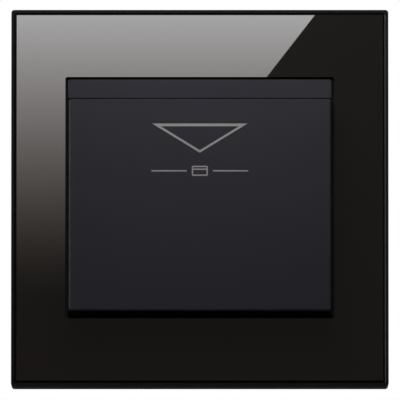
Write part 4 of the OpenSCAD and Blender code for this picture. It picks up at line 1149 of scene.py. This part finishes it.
    def tent_cloth(self):
        """The tent's glow: a grey front, darker sides, a pale ground, a bright strip and a window.

        The glow is warm low down and cool higher up and on the ground.
        """
        margin = 10 * MM
        front = GLASS_LO.y - self.tent_far
        side_glow, front_glow = 0.03, 0.19
        warm, cool = (1, 0.86, 0.79, 1), (1, 0.985, 0.995, 1)
        material, tree, spot = open_material("tent_cloth_lit")
        axes = add(tree, "ShaderNodeSeparateXYZ", {"Vector": spot}).outputs
        rise = add(tree, "ShaderNodeMapRange", {
            "Value": axes["Z"], "From Min": self.on_tent(0, self.window_end).y,
            "From Max": self.on_tent(*self.edge_high).y,
        })
        low = add(tree, "ShaderNodeMath", {0: axes["Z"], 1: self.tent_low, 2: MM}, operation="COMPARE")
        level = add(tree, "ShaderNodeMapRange", {
            "Value": axes["Y"], "From Min": front + 2 * margin, "From Max": front + margin,
            "To Min": side_glow, "To Max": front_glow,
        })
        ground = self.ground_glow(tree, axes, low)
        strip = self.strip_glow(tree, axes)
        window = self.window_glow(tree, axes, rise, margin)
        for glow in (ground, strip, window):
            level = add(tree, "ShaderNodeMath", {0: level, 1: glow}, operation="ADD")
        tone = add(tree, "ShaderNodeMath", {0: rise, 1: low}, operation="MAXIMUM")
        hue = add(tree, "ShaderNodeMix", {"Factor": tone, "A": warm, "B": cool}, data_type="RGBA")
        glow = add(tree, "ShaderNodeEmission", {"Color": hue.outputs["Result"], "Strength": level})
        add(tree, "ShaderNodeOutputMaterial", {"Surface": glow})
        return material

    def ground_glow(self, tree, axes, low):
        """The ground, which is pale at both sides and dark in a wedge straight ahead."""
        start, full = -0.02, -0.15
        wedge_slope, wedge_blur = 0.6, 0.06
        strength = 0.8
        ahead = add(tree, "ShaderNodeMapRange", {"Value": axes["Y"], "From Min": start, "From Max": full})
        beside = add(tree, "ShaderNodeMath", {0: axes["X"]}, operation="ABSOLUTE")
        apart = add(
            tree, "ShaderNodeMath", {0: axes["Y"], 1: wedge_slope, 2: beside}, operation="MULTIPLY_ADD"
        )
        sides = add(tree, "ShaderNodeMapRange", {
            "Value": apart, "From Max": wedge_blur, "To Max": strength,
        })
        paper = add(tree, "ShaderNodeMath", {0: ahead, 1: sides}, operation="MULTIPLY")
        return add(tree, "ShaderNodeMath", {0: low, 1: paper}, operation="MULTIPLY")

    def strip_glow(self, tree, axes):
        """A bright upright strip on the left wall, which lines the edges on that side."""
        distance = 0.5
        outer, inner = 0.1, 0.05
        strength = 9
        wall = add(tree, "ShaderNodeMath", {0: axes["X"], 1: -self.tent_half, 2: MM}, operation="COMPARE")
        along = add(tree, "ShaderNodeMath", {0: axes["Y"], 1: distance}, operation="ADD")
        off = add(tree, "ShaderNodeMath", {0: along}, operation="ABSOLUTE")
        strip = add(tree, "ShaderNodeMapRange", {
            "Value": off, "From Min": outer, "From Max": inner, "To Max": strength,
        }, interpolation_type="SMOOTHSTEP")
        return add(tree, "ShaderNodeMath", {0: wall, 1: strip}, operation="MULTIPLY")

    def window_glow(self, tree, axes, rise, margin):
        """A window that fades downwards, with a slanting edge at its right.

        It is no larger than the glass mirrors.
        """
        strength = 8.6
        fading = 2.05
        blur = 0.1 * MM
        high, low = self.on_tent(*self.edge_high), self.on_tent(*self.edge_low)
        corner = self.on_tent(-GLASS_HI.x, GLASS_HI.z)
        slope = (high.x - low.x) / (high.y - low.y)
        lean = add(tree, "ShaderNodeMath", {
            0: axes["Z"], 1: -slope, 2: high.y * slope - high.x,
        }, operation="MULTIPLY_ADD")
        across = add(tree, "ShaderNodeMath", {0: axes["X"], 1: lean}, operation="ADD")
        right = add(tree, "ShaderNodeMapRange", {"Value": across, "From Min": blur, "From Max": -blur})
        left = add(tree, "ShaderNodeMapRange", {
            "Value": axes["X"], "From Min": corner.x - 2 * margin, "From Max": corner.x - margin,
            "To Max": strength,
        })
        top = add(tree, "ShaderNodeMapRange", {
            "Value": axes["Z"], "From Min": corner.y + 2 * margin, "From Max": corner.y + margin,
        })
        level = add(tree, "ShaderNodeMath", {0: rise, 1: fading}, operation="POWER")
        for side in (left, right, top):
            level = add(tree, "ShaderNodeMath", {0: level, 1: side}, operation="MULTIPLY")
        return level

    def set_lamps(self, context):
        """A key close above the front, and two soft lamps behind."""
        # Name, place, aim, side, watts
        lamps = [
            ("key", (0, -0.065, 0.09), (0, -0.015, 0), 0.1, 0.18),
            ("back_left", (-0.7, 0.9, 0.45), (0, 0, 0), 0.6, 8.5),
            ("back_right", (0.7, 0.8, 0.35), (0, 0, 0), 0.6, 6.5),
        ]
        for name, place, aim, side, watts in lamps:
            bpy.ops.object.light_add(type="AREA", location=place)
            lamp = context.object
            lamp.name = name
            lamp.rotation_euler = (Vector(aim) - lamp.location).to_track_quat("-Z", "Y").to_euler()
            lamp.data.shape = "SQUARE"
            lamp.data.size = side
            lamp.data.energy = watts
            lamp.visible_camera = False
            lamp.visible_glossy = False


class CARD_PT_panel(bpy.types.Panel):
    """Lists the pieces in the sidebar"""

    bl_idname = "CARD_PT_panel"
    bl_label = "Card Switch"
    bl_space_type = "VIEW_3D"
    bl_region_type = "UI"
    bl_category = "Card Switch"

    def draw(self, context):
        for operator in OPERATORS:
            self.layout.operator(operator.bl_idname)


OPERATORS = [
    CARD_OT_glass_panel,
    CARD_OT_panel_frame,
    CARD_OT_front_cover,
    CARD_OT_printed_marks,
    CARD_OT_pocket_plate,
    CARD_OT_strap,
    CARD_OT_housing,
    CARD_OT_lever,
    CARD_OT_inner_works,
    CARD_OT_stage,
]
CLASSES = [SwitchSizes, SwitchColours, *OPERATORS, CARD_PT_panel]


def register():
    """Registers the classes and hangs the sizes and colours on the scene."""
    for cls in CLASSES:
        bpy.utils.register_class(cls)
    bpy.types.Scene.switch_sizes = PointerProperty(type=SwitchSizes)
    bpy.types.Scene.switch_colours = PointerProperty(type=SwitchColours)


def unregister():
    """Takes back what register did."""
    del bpy.types.Scene.switch_colours
    del bpy.types.Scene.switch_sizes
    for cls in reversed(CLASSES):
        bpy.utils.unregister_class(cls)


def main():
    """Builds every piece and the studio."""
    register()
    bpy.ops.card_switch.glass_panel()
    bpy.ops.card_switch.panel_frame()
    bpy.ops.card_switch.front_cover()
    bpy.ops.card_switch.printed_marks()
    bpy.ops.card_switch.pocket_plate()
    bpy.ops.card_switch.strap()
    bpy.ops.card_switch.housing()
    bpy.ops.card_switch.lever()
    bpy.ops.card_switch.inner_works()
    bpy.ops.card_switch.stage()


if __name__ == "__main__":
    main()
